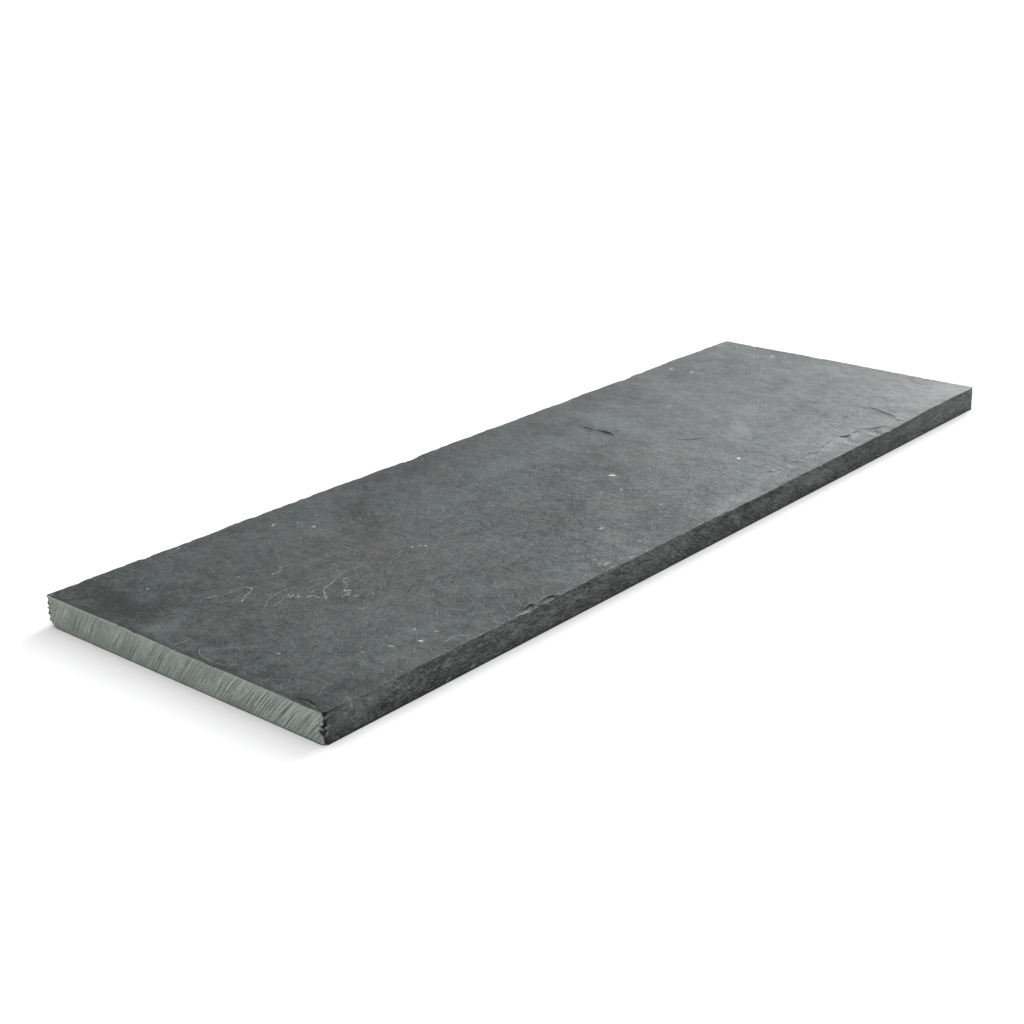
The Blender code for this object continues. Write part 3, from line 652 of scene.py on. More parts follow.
def topChains():
    # crest and foot of each step, and three lines along each chalk line
    run, line = splitting["stepRun"], marking["line"]
    wanted = [(flake["line"], shift) for flake in flakes.values() for shift in (-0.5 * run, 0.5 * run)]
    wanted += [(path, shift) for _, path in chalkPaths for shift in (-line, 0, line)]
    chains, crossings = [], []
    for path, shift in wanted:
        beside = [Vector(point[:2]) + shift * acrossLine(path, i) for i, point in enumerate(path)]
        chain, crossed = clipLine([tuple(place) for place in beside])
        chains.append(chain)
        crossings += crossed
    return chains, crossings


def columns(half, gap, extras):
    # positions along an edge: close together beside the corners, and through each place a step leaves by
    steps = meshing["cornerSteps"]
    start = steps[-1] + gap
    count = round(2 * (half - start) / gap)
    even = [-half + start + 2 * (half - start) * i / count for i in range(count + 1)]
    found = [-half, half] + [s * (half - step) for step in steps for s in (-1, 1)] + even
    found = [p for p in found if abs(p) == half or all(abs(p - e) > meshing["columnClear"] for e in extras)]
    return sorted(set(round(p, 7) for p in found) | set(extras))


def triangulate(places, joins):
    verts, _, faces, _, _, _ = delaunay_2d_cdt([Vector(p) for p in places], joins, [], 0, 1e-8)
    return [(round(v.x, 7), round(v.y, 7)) for v in verts], faces


def spotPlaces():
    places = []
    for spot in chalkSpots + creamSpots + darkSpots:
        centre, long, short, way, _ = spotFrame(spot)
        side = Vector((-way.y, way.x))
        for ring, count in meshing["spotRings"]:
            for i in range(count):
                angle = math.tau * i / count
                offset = way * long * math.cos(angle) + side * short * math.sin(angle)
                place = centre + ring * offset
                if onSlab(place, meshing["spotClear"]):
                    places.append(tuple(place))
    return places


def topNet(edgeLoop, chains):
    places = list(edgeLoop)
    joins = [(i, (i + 1) % len(edgeLoop)) for i in range(len(edgeLoop))]
    known = {place: i for i, place in enumerate(edgeLoop)}
    for chain in chains:
        run = []
        for place in chain:
            if place not in known:
                known[place] = len(places)
                places.append(place)
            run.append(known[place])
        joins += [(a, b) for a, b in zip(run, run[1:]) if a != b]
    places += spotPlaces()
    fixed = places[len(edgeLoop):]
    tree = kdtree.KDTree(len(fixed))
    for i, place in enumerate(fixed):
        tree.insert((*place, 0), i)
    tree.balance()

    def clearBy(place, distance):
        return tree.find((*place, 0))[2] > distance

    for ring in meshing["arrisRings"]:
        for x, y in edgeLoop:
            inner = (
                math.copysign(endX - ring, x) if abs(x) == endX else x,
                math.copysign(sideY - ring, y) if abs(y) == sideY else y,
            )
            if onSlab(inner, 0.9 * ring) and clearBy(inner, meshing["ringClear"]):
                places.append(inner)
    rng = random.Random(meshing["seed"])
    gap = meshing["topGap"]
    jitter = meshing["jitter"] * gap
    edge = meshing["arrisRings"][-1] + 0.6 * gap
    rows = round(2 * (sideY - edge) / (gap * math.sqrt(3) / 2))
    for j in range(rows + 1):
        y = -sideY + edge + 2 * (sideY - edge) * j / rows
        count = round(2 * (endX - edge) / gap) - j % 2
        for i in range(count + 1):
            x = (i - count / 2) * gap
            place = (x + rng.uniform(-jitter, jitter), y + rng.uniform(-jitter, jitter))
            if onSlab(place, edge - 0.3 * gap) and clearBy(place, 0.5 * gap):
                places.append(place)
    return triangulate(places, joins)


def slabFaces():
    # a point is known by its x, y and rise, so faces that meet share their points
    spots, index, faces, kinds = [], {}, [], []

    def addFace(kind, corners, flipped=False):
        face = []
        for x, y, rise in corners:
            key = (round(x * 1e7), round(y * 1e7), round(rise * 1e7))
            if key not in index:
                index[key] = len(spots)
                spots.append((x, y, rise))
            face.append(index[key])
        faces.append(face[::-1] if flipped else face)
        kinds.append(kind)

    chains, crossings = topChains()
    along, across = {}, {}
    for s in (-1, 1):
        along[s] = columns(endX, meshing["columnGap"], [x for x, y in crossings if y == s * sideY])
        across[s] = columns(sideY, meshing["endGap"], [y for x, y in crossings if x == s * endX])
    loop = [(x, -sideY) for x in along[-1][:-1]] + [(endX, y) for y in across[1][:-1]]
    loop += [(x, sideY) for x in along[1][:0:-1]] + [(-endX, y) for y in across[-1][:0:-1]]

    places, triangles = topNet(loop, chains)
    for face in triangles:
        addFace(0, [(*places[i], 1.0) for i in face])
    gap = meshing["underGap"]
    under = [(-endX + gap * (i + 1), -sideY + gap * (j + 1))
             for i in range(round(2 * endX / gap) - 1) for j in range(round(2 * sideY / gap) - 1)]
    places, triangles = triangulate(loop + under, [(i, (i + 1) % len(loop)) for i in range(len(loop))])
    for face in triangles:
        addFace(3, [(*places[i], 0.0) for i in reversed(face)])

    even = [j / meshing["rows"] for j in range(meshing["rows"] + 1)]
    rises = [t - meshing["rowBias"] * math.sin(math.tau * t) / math.tau for t in even]
    rises[-1] = 1.0
    for kind, edges in ((1, across), (2, along)):
        for sign, run in edges.items():
            for a, b in zip(run, run[1:]):
                for lower, upper in zip(rises, rises[1:]):
                    corners = [(a, lower), (b, lower), (b, upper), (a, upper)]
                    if kind == 1:
                        corners = [(sign * endX, y, rise) for y, rise in corners]
                    else:
                        corners = [(x, sign * sideY, rise) for x, rise in corners]
                    addFace(kind, corners, flipped=(kind == 1) != (sign > 0))
    return spots, faces, kinds


def buildSlab():
    spots, faces, kinds = slabFaces()
    x, y, rise = np.array(spots).T
    points, tone, pale = shapePoints(x, y, rise)
    top = rise == 1.0
    front = (y == -sideY) & ~top
    topX, topY, frontX, frontZ = x[top], y[top], x[front], points[front, 2]
    values = {name: np.zeros(len(x)) for name in ("chalkAndHighlight", "cream", "shadeMark", "patch", "warmth")}
    values["chalkAndHighlight"][top] = chalkMask(topX, topY)
    values["chalkAndHighlight"] = np.maximum(values["chalkAndHighlight"], pale)
    values["cream"][top] = spotMask(topX, topY, creamSpots)
    values["shadeMark"][top] = np.maximum(spotMask(topX, topY, darkSpots), stepShade(topX, topY))
    values["shadeMark"][front] = spotMask(frontX, frontZ, sideSpots)
    values["patch"][top] = patchTone(topX, topY, tonePatches, marking["topBend"])
    values["patch"][front] = patchTone(frontX, frontZ, sidePatches, marking["sideBend"])
    values["warmth"][top] = patchTone(topX, topY, warmPatches, marking["warmBend"])
    values.update(breakTone=tone, rise=rise)

    mesh = bpy.data.meshes.new("slateSlab")
    mesh.from_pydata(points.tolist(), [], faces)
    for name, given in values.items():
        mesh.attributes.new(name, "FLOAT", "POINT").data.foreach_set("value", given.astype(np.float32))
    mesh.attributes.new("faceKind", "INT", "FACE").data.foreach_set("value", np.array(kinds, np.int32))
    mesh.validate()
    mesh.shade_smooth()
    mesh.set_sharp_from_angle(angle=math.radians(meshing["sharpAngle"]))
    return addObject("roughSlab", mesh)


roughSlab = buildSlab()
print("slab net made:", len(roughSlab.data.polygons), "faces")

# node trees, written as sums of wires

class Wire:
    # a node's output that can be added, multiplied and so on
    def __init__(self, socket):
        self.socket = socket
        self.tree = socket.id_data

    def __add__(self, other):
        return calculate("ADD", self, other)

    def __sub__(self, other):
        return calculate("SUBTRACT", self, other)

    def __rsub__(self, other):
        return calculate("SUBTRACT", other, self)

    def __mul__(self, other):
        return calculate("MULTIPLY", self, other)

    def __truediv__(self, other):
        return calculate("DIVIDE", self, other)

    def __abs__(self):
        return calculate("ABSOLUTE", self)

    def clamped(self):
        self.socket.node.use_clamp = True
        return self


def setInputs(node, inputs):
    for key, value in inputs.items():
        if isinstance(value, Wire):
            node.id_data.links.new(value.socket, node.inputs[key])
        else:
            node.inputs[key].default_value = value


def addNode(tree, kind, inputs, **settings):
    node = tree.nodes.new(kind)
    for name, value in settings.items():
        setattr(node, name, value)
    setInputs(node, inputs)
    return node


def wires(node):
    return {socket.name: Wire(socket) for socket in node.outputs}


def wireFrom(tree, kind, inputs, out=0, **settings):
    return Wire(addNode(tree, kind, inputs, **settings).outputs[out])


def firstWire(values):
    return next(value for value in values if isinstance(value, Wire))


def calculate(operation, *values):
    # on numbers if the first wire carries one, otherwise on vectors
    first = firstWire(values)
    kind = "ShaderNodeMath"
    if first.socket.type != "VALUE":
        kind = "ShaderNodeVectorMath"
        values = [(value,) * 3 if isinstance(value, float) else value for value in values]
    return wireFrom(first.tree, kind, dict(enumerate(values)), operation=operation)


def least(a, b):
    return calculate("MINIMUM", a, b)


def most(a, b):
    return calculate("MAXIMUM", a, b)


def remap(value, fromLow, fromHigh, toLow=0.0, toHigh=1.0):
    inputs = {"Value": value, "From Min": fromLow, "From Max": fromHigh, "To Min": toLow, "To Max": toHigh}
    return wireFrom(value.tree, "ShaderNodeMapRange", inputs, clamp=True)


def noiseFrom(vector, scale=1.0, detail=3.0, roughness=0.55, distortion=0.0, out=0):
    inputs = {"Vector": vector, "Scale": scale, "Detail": detail}
    inputs.update({"Roughness": roughness, "Distortion": distortion})
    return wireFrom(vector.tree, "ShaderNodeTexNoise", inputs, out)


def vectorOf(x=0.0, y=0.0, z=0.0):
    return wireFrom(firstWire((x, y, z)).tree, "ShaderNodeCombineXYZ", {"X": x, "Y": y, "Z": z})


def partsOf(vector):
    return wires(addNode(vector.tree, "ShaderNodeSeparateXYZ", {0: vector}))


def channelsOf(colour):
    return wires(addNode(colour.tree, "ShaderNodeSeparateColor", {0: colour}))


def mixColour(factor, a, b, blend="MIX"):
    tree = firstWire((factor, a)).tree
    return wireFrom(tree, "ShaderNodeMix", {0: factor, 6: a, 7: b}, 2, data_type="RGBA", blend_type=blend)


def addSocket(tree, name, kind, value=None, out=False):
    direction = "OUTPUT" if out else "INPUT"
    socket = tree.interface.new_socket(name, in_out=direction, socket_type="NodeSocket" + kind)
    if value is not None:
        socket.default_value = value


# fine relief, as Geometry Nodes: cleft grain on the top, layers on the sides, saw grooves on the ends

relief = {
    "Cleft Depth": 0.00046, "Cleft Size": 0.020,
    "Layer Depth": 0.00055, "Layer Height": 0.0022, "Layer Length": 0.019,
    "Saw Depth": 0.00020, "Saw Pitch": 0.0027, "Saw Radius": 0.21, "Saw Centre": -0.112, "Saw Lean": 1.2,
    "Seed": 3.0,
}


def sawArc(position, radius, centre, lean):
    # where along Y the blade's rim crossed this height; the marks stand steeper towards +Y
    spot = partsOf(position)
    rise = spot["Z"] - centre
    arc = spot["Y"] - calculate("SQRT", radius * radius - rise * rise)
    return arc - spot["Y"] * spot["Z"] * lean, spot


def reliefTree(materials):
    tree = bpy.data.node_groups.new("stoneRelief", "GeometryNodeTree")
    addSocket(tree, "Geometry", "Geometry")
    addSocket(tree, "Geometry", "Geometry", out=True)
    for name, value in relief.items():
        addSocket(tree, name, "Float", value)
    for name in materials:
        addSocket(tree, name, "Material")
    given = wires(tree.nodes.new("NodeGroupInput"))
    position = wireFrom(tree, "GeometryNodeInputPosition", {})
    normal = wireFrom(tree, "GeometryNodeInputNormal", {})
    seeded = position + vectorOf(given["Seed"])

    cleft = noiseFrom(seeded / given["Cleft Size"], 1.0, 3.0, 0.6, 0.4)
    long = given["Layer Length"]
    layers = noiseFrom(seeded / vectorOf(long, long, given["Layer Height"]), 1.0, 3.0, 0.65, 0.8)
    arc, spot = sawArc(position, given["Saw Radius"], given["Saw Centre"], given["Saw Lean"])
    inputs = {"W": arc / given["Saw Pitch"], "Scale": 1.0, "Detail": 1.0, "Roughness": 0.5}
    groove = wireFrom(tree, "ShaderNodeTexNoise", inputs, noise_dimensions="1D")

    facing = partsOf(normal * normal)
    depth = remap(cleft, 0.3, 0.7) * given["Cleft Depth"] * facing["Z"]
    depth = depth + remap(layers, 0.36, 0.68) * given["Layer Depth"] * facing["Y"]
    depth = depth + remap(groove, 0.35, 0.65) * given["Saw Depth"] * facing["X"]
    depth = depth * remap(spot["Z"], 0.0, 0.003)
    inputs = {"Geometry": given["Geometry"], "Offset": normal * (depth * -1.0)}
    moved = wireFrom(tree, "GeometryNodeSetPosition", inputs)
    geometry = wireFrom(tree, "GeometryNodeRealizeInstances", {"Geometry": moved})
    kind = wireFrom(tree, "GeometryNodeInputNamedAttribute", {"Name": "faceKind"}, data_type="INT")
    for number, name in enumerate(materials):
        inputs = {"Geometry": geometry, "Material": given[name]}
        if number:
            pair, settings = {2: kind, 3: number}, {"data_type": "INT", "operation": "EQUAL"}
            inputs["Selection"] = wireFrom(tree, "FunctionNodeCompare", pair, **settings)
        geometry = wireFrom(tree, "GeometryNodeSetMaterial", inputs)
    addNode(tree, "NodeGroupOutput", {0: geometry})
    return tree


# shader groups that the faces share

def makeGroup(name, masksFrom, inputs):
    tree = bpy.data.node_groups.new(name, "ShaderNodeTree")
    addSocket(tree, "Vector", "Vector")
    for label, value in inputs.items():
        addSocket(tree, label, "Float", value)
    masks = masksFrom(wires(tree.nodes.new("NodeGroupInput")))
    for label in masks:
        addSocket(tree, label, "Float", out=True)
    addNode(tree, "NodeGroupOutput", masks)
    return tree


def grainMasks(given):
    # split-stone grain: short streaks and small pits
    size = given["Size"]
    scaled = given["Vector"] / vectorOf(size * given["Stretch"], size, size)
    grain, pits = noiseFrom(scaled, 1.0, 5.0, 0.68, 0.6), noiseFrom(scaled, 0.62, 2.0, 0.5)
    return {"Grain": remap(grain, 0.36, 0.64), "Pits": remap(pits, 0.60, 0.72)}


def cloudMasks(given):
    # broad cloudy patches and two separate masks for tints
    scaled = given["Vector"] / given["Size"]
    cloud = noiseFrom(scaled, 1.0, 4.0, 0.6, 0.5)
    warm = noiseFrom(scaled + (7.3, 2.1, 0.4), 1.7, 3.0, 0.6, 0.8)
    cool = noiseFrom(scaled + (1.9, 9.2, 5.1), 2.1, 3.0, 0.6, 0.8)
    return {"Cloud": remap(cloud, 0.3, 0.7), "Warm": remap(warm, 0.54, 0.72), "Cool": remap(cool, 0.54, 0.72)}


def tintMasks(given):
    # small separate patches of three faint tints
    colour = noiseFrom(given["Vector"] / given["Size"], 1.0, 3.0, 0.65, 0.6, 1)
    return {label: remap(tint, 0.3, 0.7, -1.0, 1.0) for label, tint in channelsOf(colour).items()}


def arrisMasks(given):
    # 1 at the nearest arris, ragged, 0 a width away
    spot = partsOf(given["Vector"])
    fromEnd = endX - abs(spot["X"])
    fromSide = sideY - abs(spot["Y"])
    upright = least(abs(slab["thickness"] - spot["Z"]), spot["Z"])
    distance = most(least(fromEnd, fromSide), least(most(fromEnd, fromSide), upright))
    rough = (noiseFrom(given["Vector"], 260.0, 4.0, 0.6) - 0.5) * given["Ragged"]
    return {"Wear": (1.0 - distance / given["Width"] + rough).clamped()}


def sawMasks(given):
    # the blade's curved marks: a few bold ones and many fine ones between
    vector = given["Vector"]
    arc, spot = sawArc(vector, given["Radius"], given["Centre"], given["Lean"])
    drift = noiseFrom(vector, 90.0, 2.0, 0.5)
    masks = {}
    for label, wander, run in (("Bold", 0.0, 0.120), ("Fine", 0.0005, 0.024)):
        place = vectorOf((arc + drift * wander) / given[label + " Pitch"], spot["Z"] / run)
        masks[label] = remap(noiseFrom(place, 1.0, 2.0, 0.6), 0.36, 0.64)
    # the marks come and go, and are plainest towards -Y
    broken = remap(noiseFrom(vector, 55.0, 3.0, 0.6), 0.35, 0.65, 0.35, 1.0)
    masks["Strength"] = broken * remap(spot["Y"], sideY, -sideY, 0.5, 1.15)
    return masks


def speckMasks(given):
    # small separate specks: the share of cells that hold one, and its size within the cell
    scaled = given["Vector"] / given["Cell"]
    bent = scaled + noiseFrom(scaled, 2.5, 2.0, out=1)
    cells = wires(addNode(bent.tree, "ShaderNodeTexVoronoi", {"Vector": bent, "Scale": 1.0}))
    chance = channelsOf(cells["Color"])
    speck = (1.0 - cells["Distance"] / (given["Speck"] * (chance["Green"] + 0.4))).clamped()
    return {"Specks": calculate("LESS_THAN", chance["Red"], given["Share"]) * remap(speck, 0.0, 0.5)}


groups = {
    "grain": makeGroup("slateGrain", grainMasks, {"Size": 0.003, "Stretch": 1.0}),
    "clouds": makeGroup("slateClouds", cloudMasks, {"Size": 0.06}),
    "tints": makeGroup("mineralTints", tintMasks, {"Size": 0.006}),
    "arrises": makeGroup("arrisWear", arrisMasks, {"Width": 0.001, "Ragged": 0.6}),
    "specks": makeGroup("mineralSpecks", speckMasks, {"Cell": 0.006, "Share": 0.2, "Speck": 0.12}),
    "saw": makeGroup("sawMarks", sawMasks, {
        "Bold Pitch": 0.003, "Fine Pitch": 0.0012, "Radius": 0.2, "Centre": -0.1, "Lean": 0.0}),
}


def masksOf(group, vector, values):
    inputs = {"Vector": vector, **values}
    return wires(addNode(vector.tree, "ShaderNodeGroup", inputs, node_tree=groups[group]))


# materials

# each grain: its size, how far it is drawn out, and how high it stands
grains = {
    "coarse": (0.012, 0.9, 0.00034), "middle": (0.0031, 0.8, 0.00020), "fine": (0.0013, 0.8, 0.00010),
    "sawn": (0.0014, 1.0, 0.00010), "streaks": (0.0012, 6.0, 0.00090), "layers": (0.0010, 1.8, 0.00070),
    "ground": (0.0018, 1.0, 0.00004), "passes": (0.0016, 60.0, 0.00008),
}
# the hollow and crevice tones are painted shade, the crevice one the deepest, and the chalk tone also paints
# highlights
tones = {
    "topDark": (0.0090, 0.0112, 0.0109, 1), "topLight": (0.0745, 0.0885, 0.0878, 1),
    "warm": (0.072, 0.060, 0.054, 1), "cool": (0.046, 0.056, 0.064, 1),
    "chalkAndHighlight": (0.62, 0.64, 0.62, 1), "cream": (0.78, 0.70, 0.50, 1),
    "fresh": (0.17, 0.18, 0.18, 1), "hollow": (0.010, 0.011, 0.011, 1), "crevice": (0.003, 0.003, 0.003, 1),
    "sawnDark": (0.060, 0.070, 0.062, 1), "sawnLight": (0.350, 0.400, 0.358, 1),
    "sawnWarm": (0.225, 0.215, 0.195, 1), "sawnCool": (0.165, 0.210, 0.205, 1),
    "sawnEdge": (0.46, 0.50, 0.45, 1),
    "sideDark": (0.003, 0.0038, 0.0035, 1), "sideLight": (0.209, 0.2345, 0.224, 1),
    "underDark": (0.090, 0.100, 0.096, 1), "underLight": (0.170, 0.185, 0.175, 1),
}


def grainOf(vector, name):
    return masksOf("grain", vector, {"Size": grains[name][0], "Stretch": grains[name][1]})


def wearOf(vector, width, ragged):
    return masksOf("arrises", vector, {"Width": width, "Ragged": ragged})["Wear"]


def layered(colour, *layers):
    for mask, tone in layers:
        colour = mixColour(mask, colour, tones[tone])
    return colour


def tinted(colour, coords, size, amount):
    # each channel drifts a little on its own
    tints = masksOf("tints", coords, {"Size": size})
    gain = vectorOf(tints["Red"], tints["Green"], tints["Blue"]) * amount + 1.0
    return mixColour(1.0, colour, gain, "MULTIPLY")


# each look gives its colour, how strongly painted shade darkens its hollows, its roughness, and its bumps:
# masks, each with a height or the name of a grain

def topLook(coords, mark):
    spot = partsOf(coords)
    cloud = masksOf("clouds", coords, {"Size": 0.075})
    dust = masksOf("specks", coords, {"Cell": 0.009, "Share": 0.16, "Speck": 0.09})["Specks"]
    plain = [grainOf(coords, name)["Grain"] for name in ("coarse", "middle", "fine")]
    # the grain is calmer towards the far back corner
    calm = remap(spot["X"] + spot["Y"] * 1.5, -0.12, 0.28, 1.0, 0.52)
    coarse, middle, fine = ((grain - 0.5) * calm + 0.5 for grain in plain)
    level = cloud["Cloud"] * 0.26 + middle * 0.33 + fine * 0.27 + coarse * 0.30 + mark("patch") * 0.32
    colour = mixColour(remap(level, 0.32, 0.86), tones["topDark"], tones["topLight"])
    colour = layered(colour, (cloud["Warm"] * 0.30, "warm"), (cloud["Cool"] * 0.40, "cool"),
                     (mark("warmth"), "warm"))
    colour = tinted(colour, coords, 0.0065, 0.13)
    # painted shade: the top is darker right beside the sawn ends
    fromEnd = endX - abs(spot["X"]) + (plain[0] - 0.5) * 0.004
    endShade = remap(fromEnd, 0.0010, 0.0075, 0.85, 0.0) * remap(plain[1], 0.3, 1.0, 1.0, 0.6)
    patchy = remap(noiseFrom(coords, 420.0, 3.0, 0.6), 0.42, 0.56, 0.35, 1.0)
    chalkAndHighlight = mark("chalkAndHighlight") * (patchy * remap(noiseFrom(coords, 130.0), 0.42, 0.56, 0.6, 1.0))
    # chalk marks include painted highlights, and the last layer is painted shade along steps and in chips
    colour = layered(colour, (dust * 0.25, "chalkAndHighlight"), (endShade, "hollow"), (chalkAndHighlight, "chalkAndHighlight"),
                     (mark("cream"), "cream"), (mark("shadeMark"), "hollow"))
    rough = cloud["Cloud"] * -0.09 + coarse * -0.07 + middle * -0.04 + mark("patch") * -0.055 + chalkAndHighlight * 0.2
    return colour, 1.0, (rough + 0.615).clamped(), ((coarse, "coarse"), (middle, "middle"), (fine, "fine"))


def sawnLook(coords, mark):
    spot = partsOf(coords)
    saw = masksOf("saw", coords, {
        "Bold Pitch": relief["Saw Pitch"], "Fine Pitch": 0.0012,
        "Radius": relief["Saw Radius"], "Centre": relief["Saw Centre"], "Lean": relief["Saw Lean"]})
    cloud = masksOf("clouds", coords, {"Size": 0.022})
    grain = grainOf(coords, "sawn")["Grain"]
    marks = (saw["Bold"] * -0.75 + saw["Fine"] * 1.45) * saw["Strength"]
    rise = remap(spot["Z"], 0.0, slab["thickness"], 0.0, 0.22)
    level = marks + cloud["Cloud"] * 0.24 + grain * 0.46 + rise
    colour = mixColour(remap(level, 0.0, 1.15), tones["sawnDark"], tones["sawnLight"])
    colour = layered(colour, (cloud["Warm"] * 0.30, "sawnWarm"), (cloud["Cool"] * 0.40, "sawnCool"))
    colour = tinted(colour, coords, 0.0034, 0.07)
    wear = wearOf(coords, 0.0009, 1.2) * remap(mark("rise"), 0.6, 0.8) * 0.45
    # painted shadow: the sawn end darkens along its foot
    foot = remap(spot["Z"], 0.0006, 0.0013, 0.55, 0.0)
    colour = layered(colour, (wear, "sawnEdge"), (foot, "hollow"))
    bumps = (saw["Bold"], -0.00016), (saw["Fine"], 0.00018), (grain, "sawn")
    return colour, 0.95, remap(saw["Fine"], 0.0, 1.0, 0.55, 0.68), bumps


def brokenLook(coords, mark):
    spot = partsOf(coords)
    cloud = masksOf("clouds", coords, {"Size": 0.035})
    # the layers lean down towards +X, more in some places than others, and curl towards the near end
    sway = calculate("SINE", (spot["X"] - 0.03) * 10.1)
    leaning = coords + vectorOf(z=spot["X"] * 0.25 + sway * 0.0247)
    curl = remap(spot["X"], -endX, -0.28, 0.020, 0.006)
    leaning = leaning + noiseFrom(coords, 95.0, 2.0, 0.5, out=1) * curl
    streaks = grainOf(leaning, "streaks")
    grain = grainOf(leaning, "layers")["Grain"]
    blotches = remap(noiseFrom(leaning / (0.022, 0.02, 0.008), 1.0, 4.0, 0.65, 0.5), 0.38, 0.62)
    foot = remap(spot["Z"], 0.0, 0.012, -0.13, 0.0)
    level = streaks["Grain"] * 0.70 + grain * 0.46 + blotches * 0.27 + foot + mark("patch") * 0.22
    colour = mixColour(remap(level, 0.42, 0.96), tones["sideDark"], tones["sideLight"])
    # painted deep shade in pits, in thin splits along the layers and at the side's shade marks
    pits = remap(noiseFrom(leaning / (0.0036, 0.003, 0.0018), 1.0, 2.0, 0.5, 0.4), 0.62, 0.68, 0.0, 0.8)
    thin = remap(noiseFrom(leaning / (0.012, 0.01, 0.0011), 1.0, 3.0, 0.6, 0.6), 0.57, 0.63, 0.0, 0.8)
    pits = most(most(pits, thin), mark("shadeMark"))
    colour = layered(colour, (streaks["Pits"] * 0.6, "hollow"), (pits, "crevice"),
                     (cloud["Warm"] * 0.20, "warm"), (cloud["Cool"] * 0.20, "cool"))
    colour = tinted(colour, coords, 0.0055, 0.12)
    # painted deep shade: black in the broken scallops at the near upright arrises, a thin painted shadow
    # along the foot, and a painted shadow line off the near corner
    rise = mark("rise")
    wear = wearOf(coords, 0.0010, 1.4) * remap(rise, 0.6, 0.8, 0.0, 0.12)
    fromNear = spot["X"] + endX
    ragged = (noiseFrom(coords, 300.0, 3.0, 0.7) - 0.5) * 0.006
    upright = remap(fromNear + ragged, 0.0027, 0.0035, 1.0, 0.0)
    foot = remap(spot["Z"] + ragged * 0.3, 0.0010, 0.0018, 0.95, 0.0)
    corner = calculate("GREATER_THAN", rise, remap(fromNear, 0.0, 0.022, 0.90, 0.985))
    corner = corner * remap(fromNear, 0.018, 0.026, 1.0, 0.0)
    black = most(upright, most(foot, corner))
    colour = layered(colour, (wear, "fresh"), (black, "crevice"), (mark("chalkAndHighlight"), "chalkAndHighlight"))
    bumps = (blotches, 0.0013), (streaks["Grain"], "streaks"), (grain, "layers"), (pits, -0.00050)
    return colour, 1.0, remap(streaks["Grain"], 0.0, 1.0, 0.50, 0.66), bumps


def underLook(coords, mark):
    cloud = masksOf("clouds", coords, {"Size": 0.09})
    grain, passes = (grainOf(coords, name)["Grain"] for name in ("ground", "passes"))
    level = cloud["Cloud"] * 0.4 + grain * 0.2 + passes * 0.4
    colour = mixColour(level, tones["underDark"], tones["underLight"])
    return colour, 1.0, remap(passes, 0.0, 1.0, 0.55, 0.7), ((passes, "passes"), (grain, "ground"))


def makeMaterial(name, look, shine=0.5):
    material = bpy.data.materials.new(name)
    material.use_nodes = True
    tree = material.node_tree

    def mark(attribute):
        return wireFrom(tree, "ShaderNodeAttribute", {}, "Fac", attribute_name=attribute)

    colour, dark, roughness, bumps = look(wireFrom(tree, "ShaderNodeTexCoord", {}, "Object"), mark)
    # fresh breaks are lighter, and hollows are darkened with painted deep shade
    tone = mark("breakTone")
    colour = layered(colour, ((tone * 0.6).clamped(), "fresh"), ((tone * -dark).clamped(), "crevice"))
    normal = {}
    for mask, height in bumps:
        distance = grains[height][2] if height in grains else height
        inputs = {"Height": mask, "Distance": distance, "Strength": 1.0}
        normal = {"Normal": wireFrom(tree, "ShaderNodeBump", {**inputs, **normal})}
    inputs = {"Base Color": colour, "Roughness": roughness, "IOR": 1.5, "Specular IOR Level": shine}
    setInputs(tree.nodes["Principled BSDF"], {**inputs, **normal})
    return material


materials = {
    "Top": makeMaterial("rivenTop", topLook, 0.43), "Sawn": makeMaterial("sawnEnd", sawnLook),
    "Broken": makeMaterial("brokenSide", brokenLook), "Underside": makeMaterial("groundUnderside", underLook),
}
print("materials made:", ", ".join(material.name for material in materials.values()))


# the relief put on, and the slab made one plain mesh

def finishSlab(rough):
    tree = reliefTree(list(materials))
    modifier = rough.modifiers.new("stoneRelief", "NODES")
    modifier.node_group = tree
    given = {**relief, **materials}
    for item in tree.interface.items_tree:
        if item.in_out == "INPUT" and item.name in given:
            modifier[item.identifier] = given[item.name]
    mesh = bpy.data.meshes.new_from_object(rough.evaluated_get(bpy.context.evaluated_depsgraph_get()))
    mesh.name = "slateSlab"
    rough.modifiers.remove(modifier)
    bpy.data.objects.remove(rough)
    return addObject("slateSlab", mesh)


slateSlab = finishSlab(roughSlab)
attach(slateSlab, "root")
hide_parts("slab")
triangles = sum(len(face.vertices) - 2 for face in slateSlab.data.polygons)
print("slab finished:", triangles, "triangles,", len(slateSlab.data.materials), "materials")


# floor, light and camera

studio = {"floorSize": 40.0, "floorColour": (0.90, 0.90, 0.90, 1), "worldLight": 0.40}
# each sun: azimuth and height in degrees, strength, spread; each softbox: the same, power, size in metres
suns = {"overhead": (0, 90, 1.5, 80), "farSky": (5, 35, 1.4, 40)}
softboxes = {
    "farSoftbox": (5, 18, 46.0, (1.2, 1.2)), "rightSoftbox": (25, 18, 10.0, (1.2, 1.2)),
    "nearFill": (200, 30, 7.0, (1.8, 1.2)), "frontFill": (-110, 30, 6.0, (1.8, 1.2)),
}
coolLights = ("farSky", "farSoftbox", "rightSoftbox")
coolColour = (0.975, 1.0, 1.01)


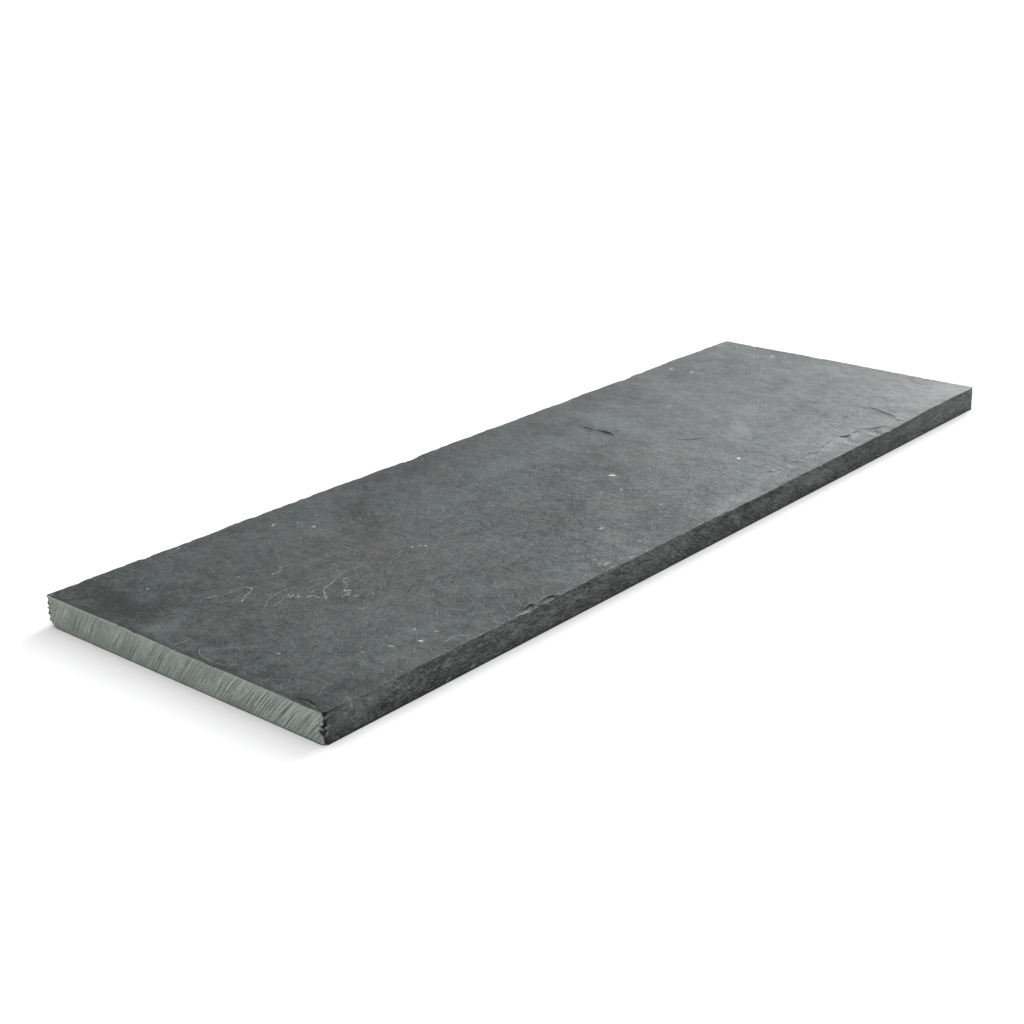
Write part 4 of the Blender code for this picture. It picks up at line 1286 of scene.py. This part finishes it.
def makeFloor():
    half = studio["floorSize"] / 2
    mesh = bpy.data.meshes.new("floor")
    corners = [(-half, -half, 0), (half, -half, 0), (half, half, 0), (-half, half, 0)]
    mesh.from_pydata(corners, [], [(0, 1, 2, 3)])
    material = bpy.data.materials.new("paleFloor")
    material.use_nodes = True
    setInputs(material.node_tree.nodes["Principled BSDF"],
              {"Base Color": studio["floorColour"], "Roughness": 0.9, "Specular IOR Level": 0.0})
    mesh.materials.append(material)
    floor = addObject("floor", mesh)


def addLight(name, kind, azimuth, height, distance):
    # aimed at the slab from this azimuth and height
    data = bpy.data.lights.new(name, kind)
    data.color = coolColour if name in coolLights else (1, 1, 1)
    azimuth, height = math.radians(azimuth), math.radians(height)
    flat = math.cos(height)
    way = Vector((math.cos(azimuth) * flat, math.sin(azimuth) * flat, math.sin(height)))
    light = addObject(name, data)
    light.location = distance * way
    light.rotation_euler = (-way).to_track_quat("-Z", "Y").to_euler()
    light.visible_camera = False
    return data


def addLights():
    for name, (azimuth, height, strength, spread) in suns.items():
        data = addLight(name, "SUN", azimuth, height, 4.0)
        data.energy = strength
        data.angle = math.radians(spread)
    for name, (azimuth, height, power, size) in softboxes.items():
        data = addLight(name, "AREA", azimuth, height, 3.2)
        data.energy = power
        data.shape = "RECTANGLE"
        data.size, data.size_y = size


def setWorld():
    world = bpy.data.worlds.new("paleStudio")
    world.use_nodes = True
    setInputs(world.node_tree.nodes["Background"], {"Color": (1, 1, 1, 1), "Strength": studio["worldLight"]})
    bpy.context.scene.world = world


cameraView = {
    "place": (-1.0834, -0.8667, 0.5196), "azimuth": 41.16, "pitch": 20.88, "roll": -1.29,
    "lens": 58.95, "sensor": 36.0,
}


def setCamera():
    # the camera stands off the near front corner and looks along the slab from above
    azimuth, pitch, roll = (math.radians(cameraView[name]) for name in ("azimuth", "pitch", "roll"))
    flat = math.cos(pitch)
    ahead = Vector((math.cos(azimuth) * flat, math.sin(azimuth) * flat, -math.sin(pitch)))
    level = Vector((math.sin(azimuth), -math.cos(azimuth), 0))
    right = math.cos(roll) * level + math.sin(roll) * level.cross(ahead)
    data = bpy.data.cameras.new("camera")
    data.lens = cameraView["lens"]
    data.sensor_width = cameraView["sensor"]
    camera = addObject("camera", data)
    matrix = camera.matrix_world.copy()
    for column, axis in enumerate((right, right.cross(ahead), -ahead, Vector(cameraView["place"]))):
        for row in range(3):
            matrix[row][column] = axis[row]
    camera.matrix_world = matrix
    bpy.context.scene.camera = camera


makeFloor()
setWorld()
addLights()
setCamera()
bpy.context.scene.view_settings.view_transform = "Standard"
print("floor, lights and camera set")
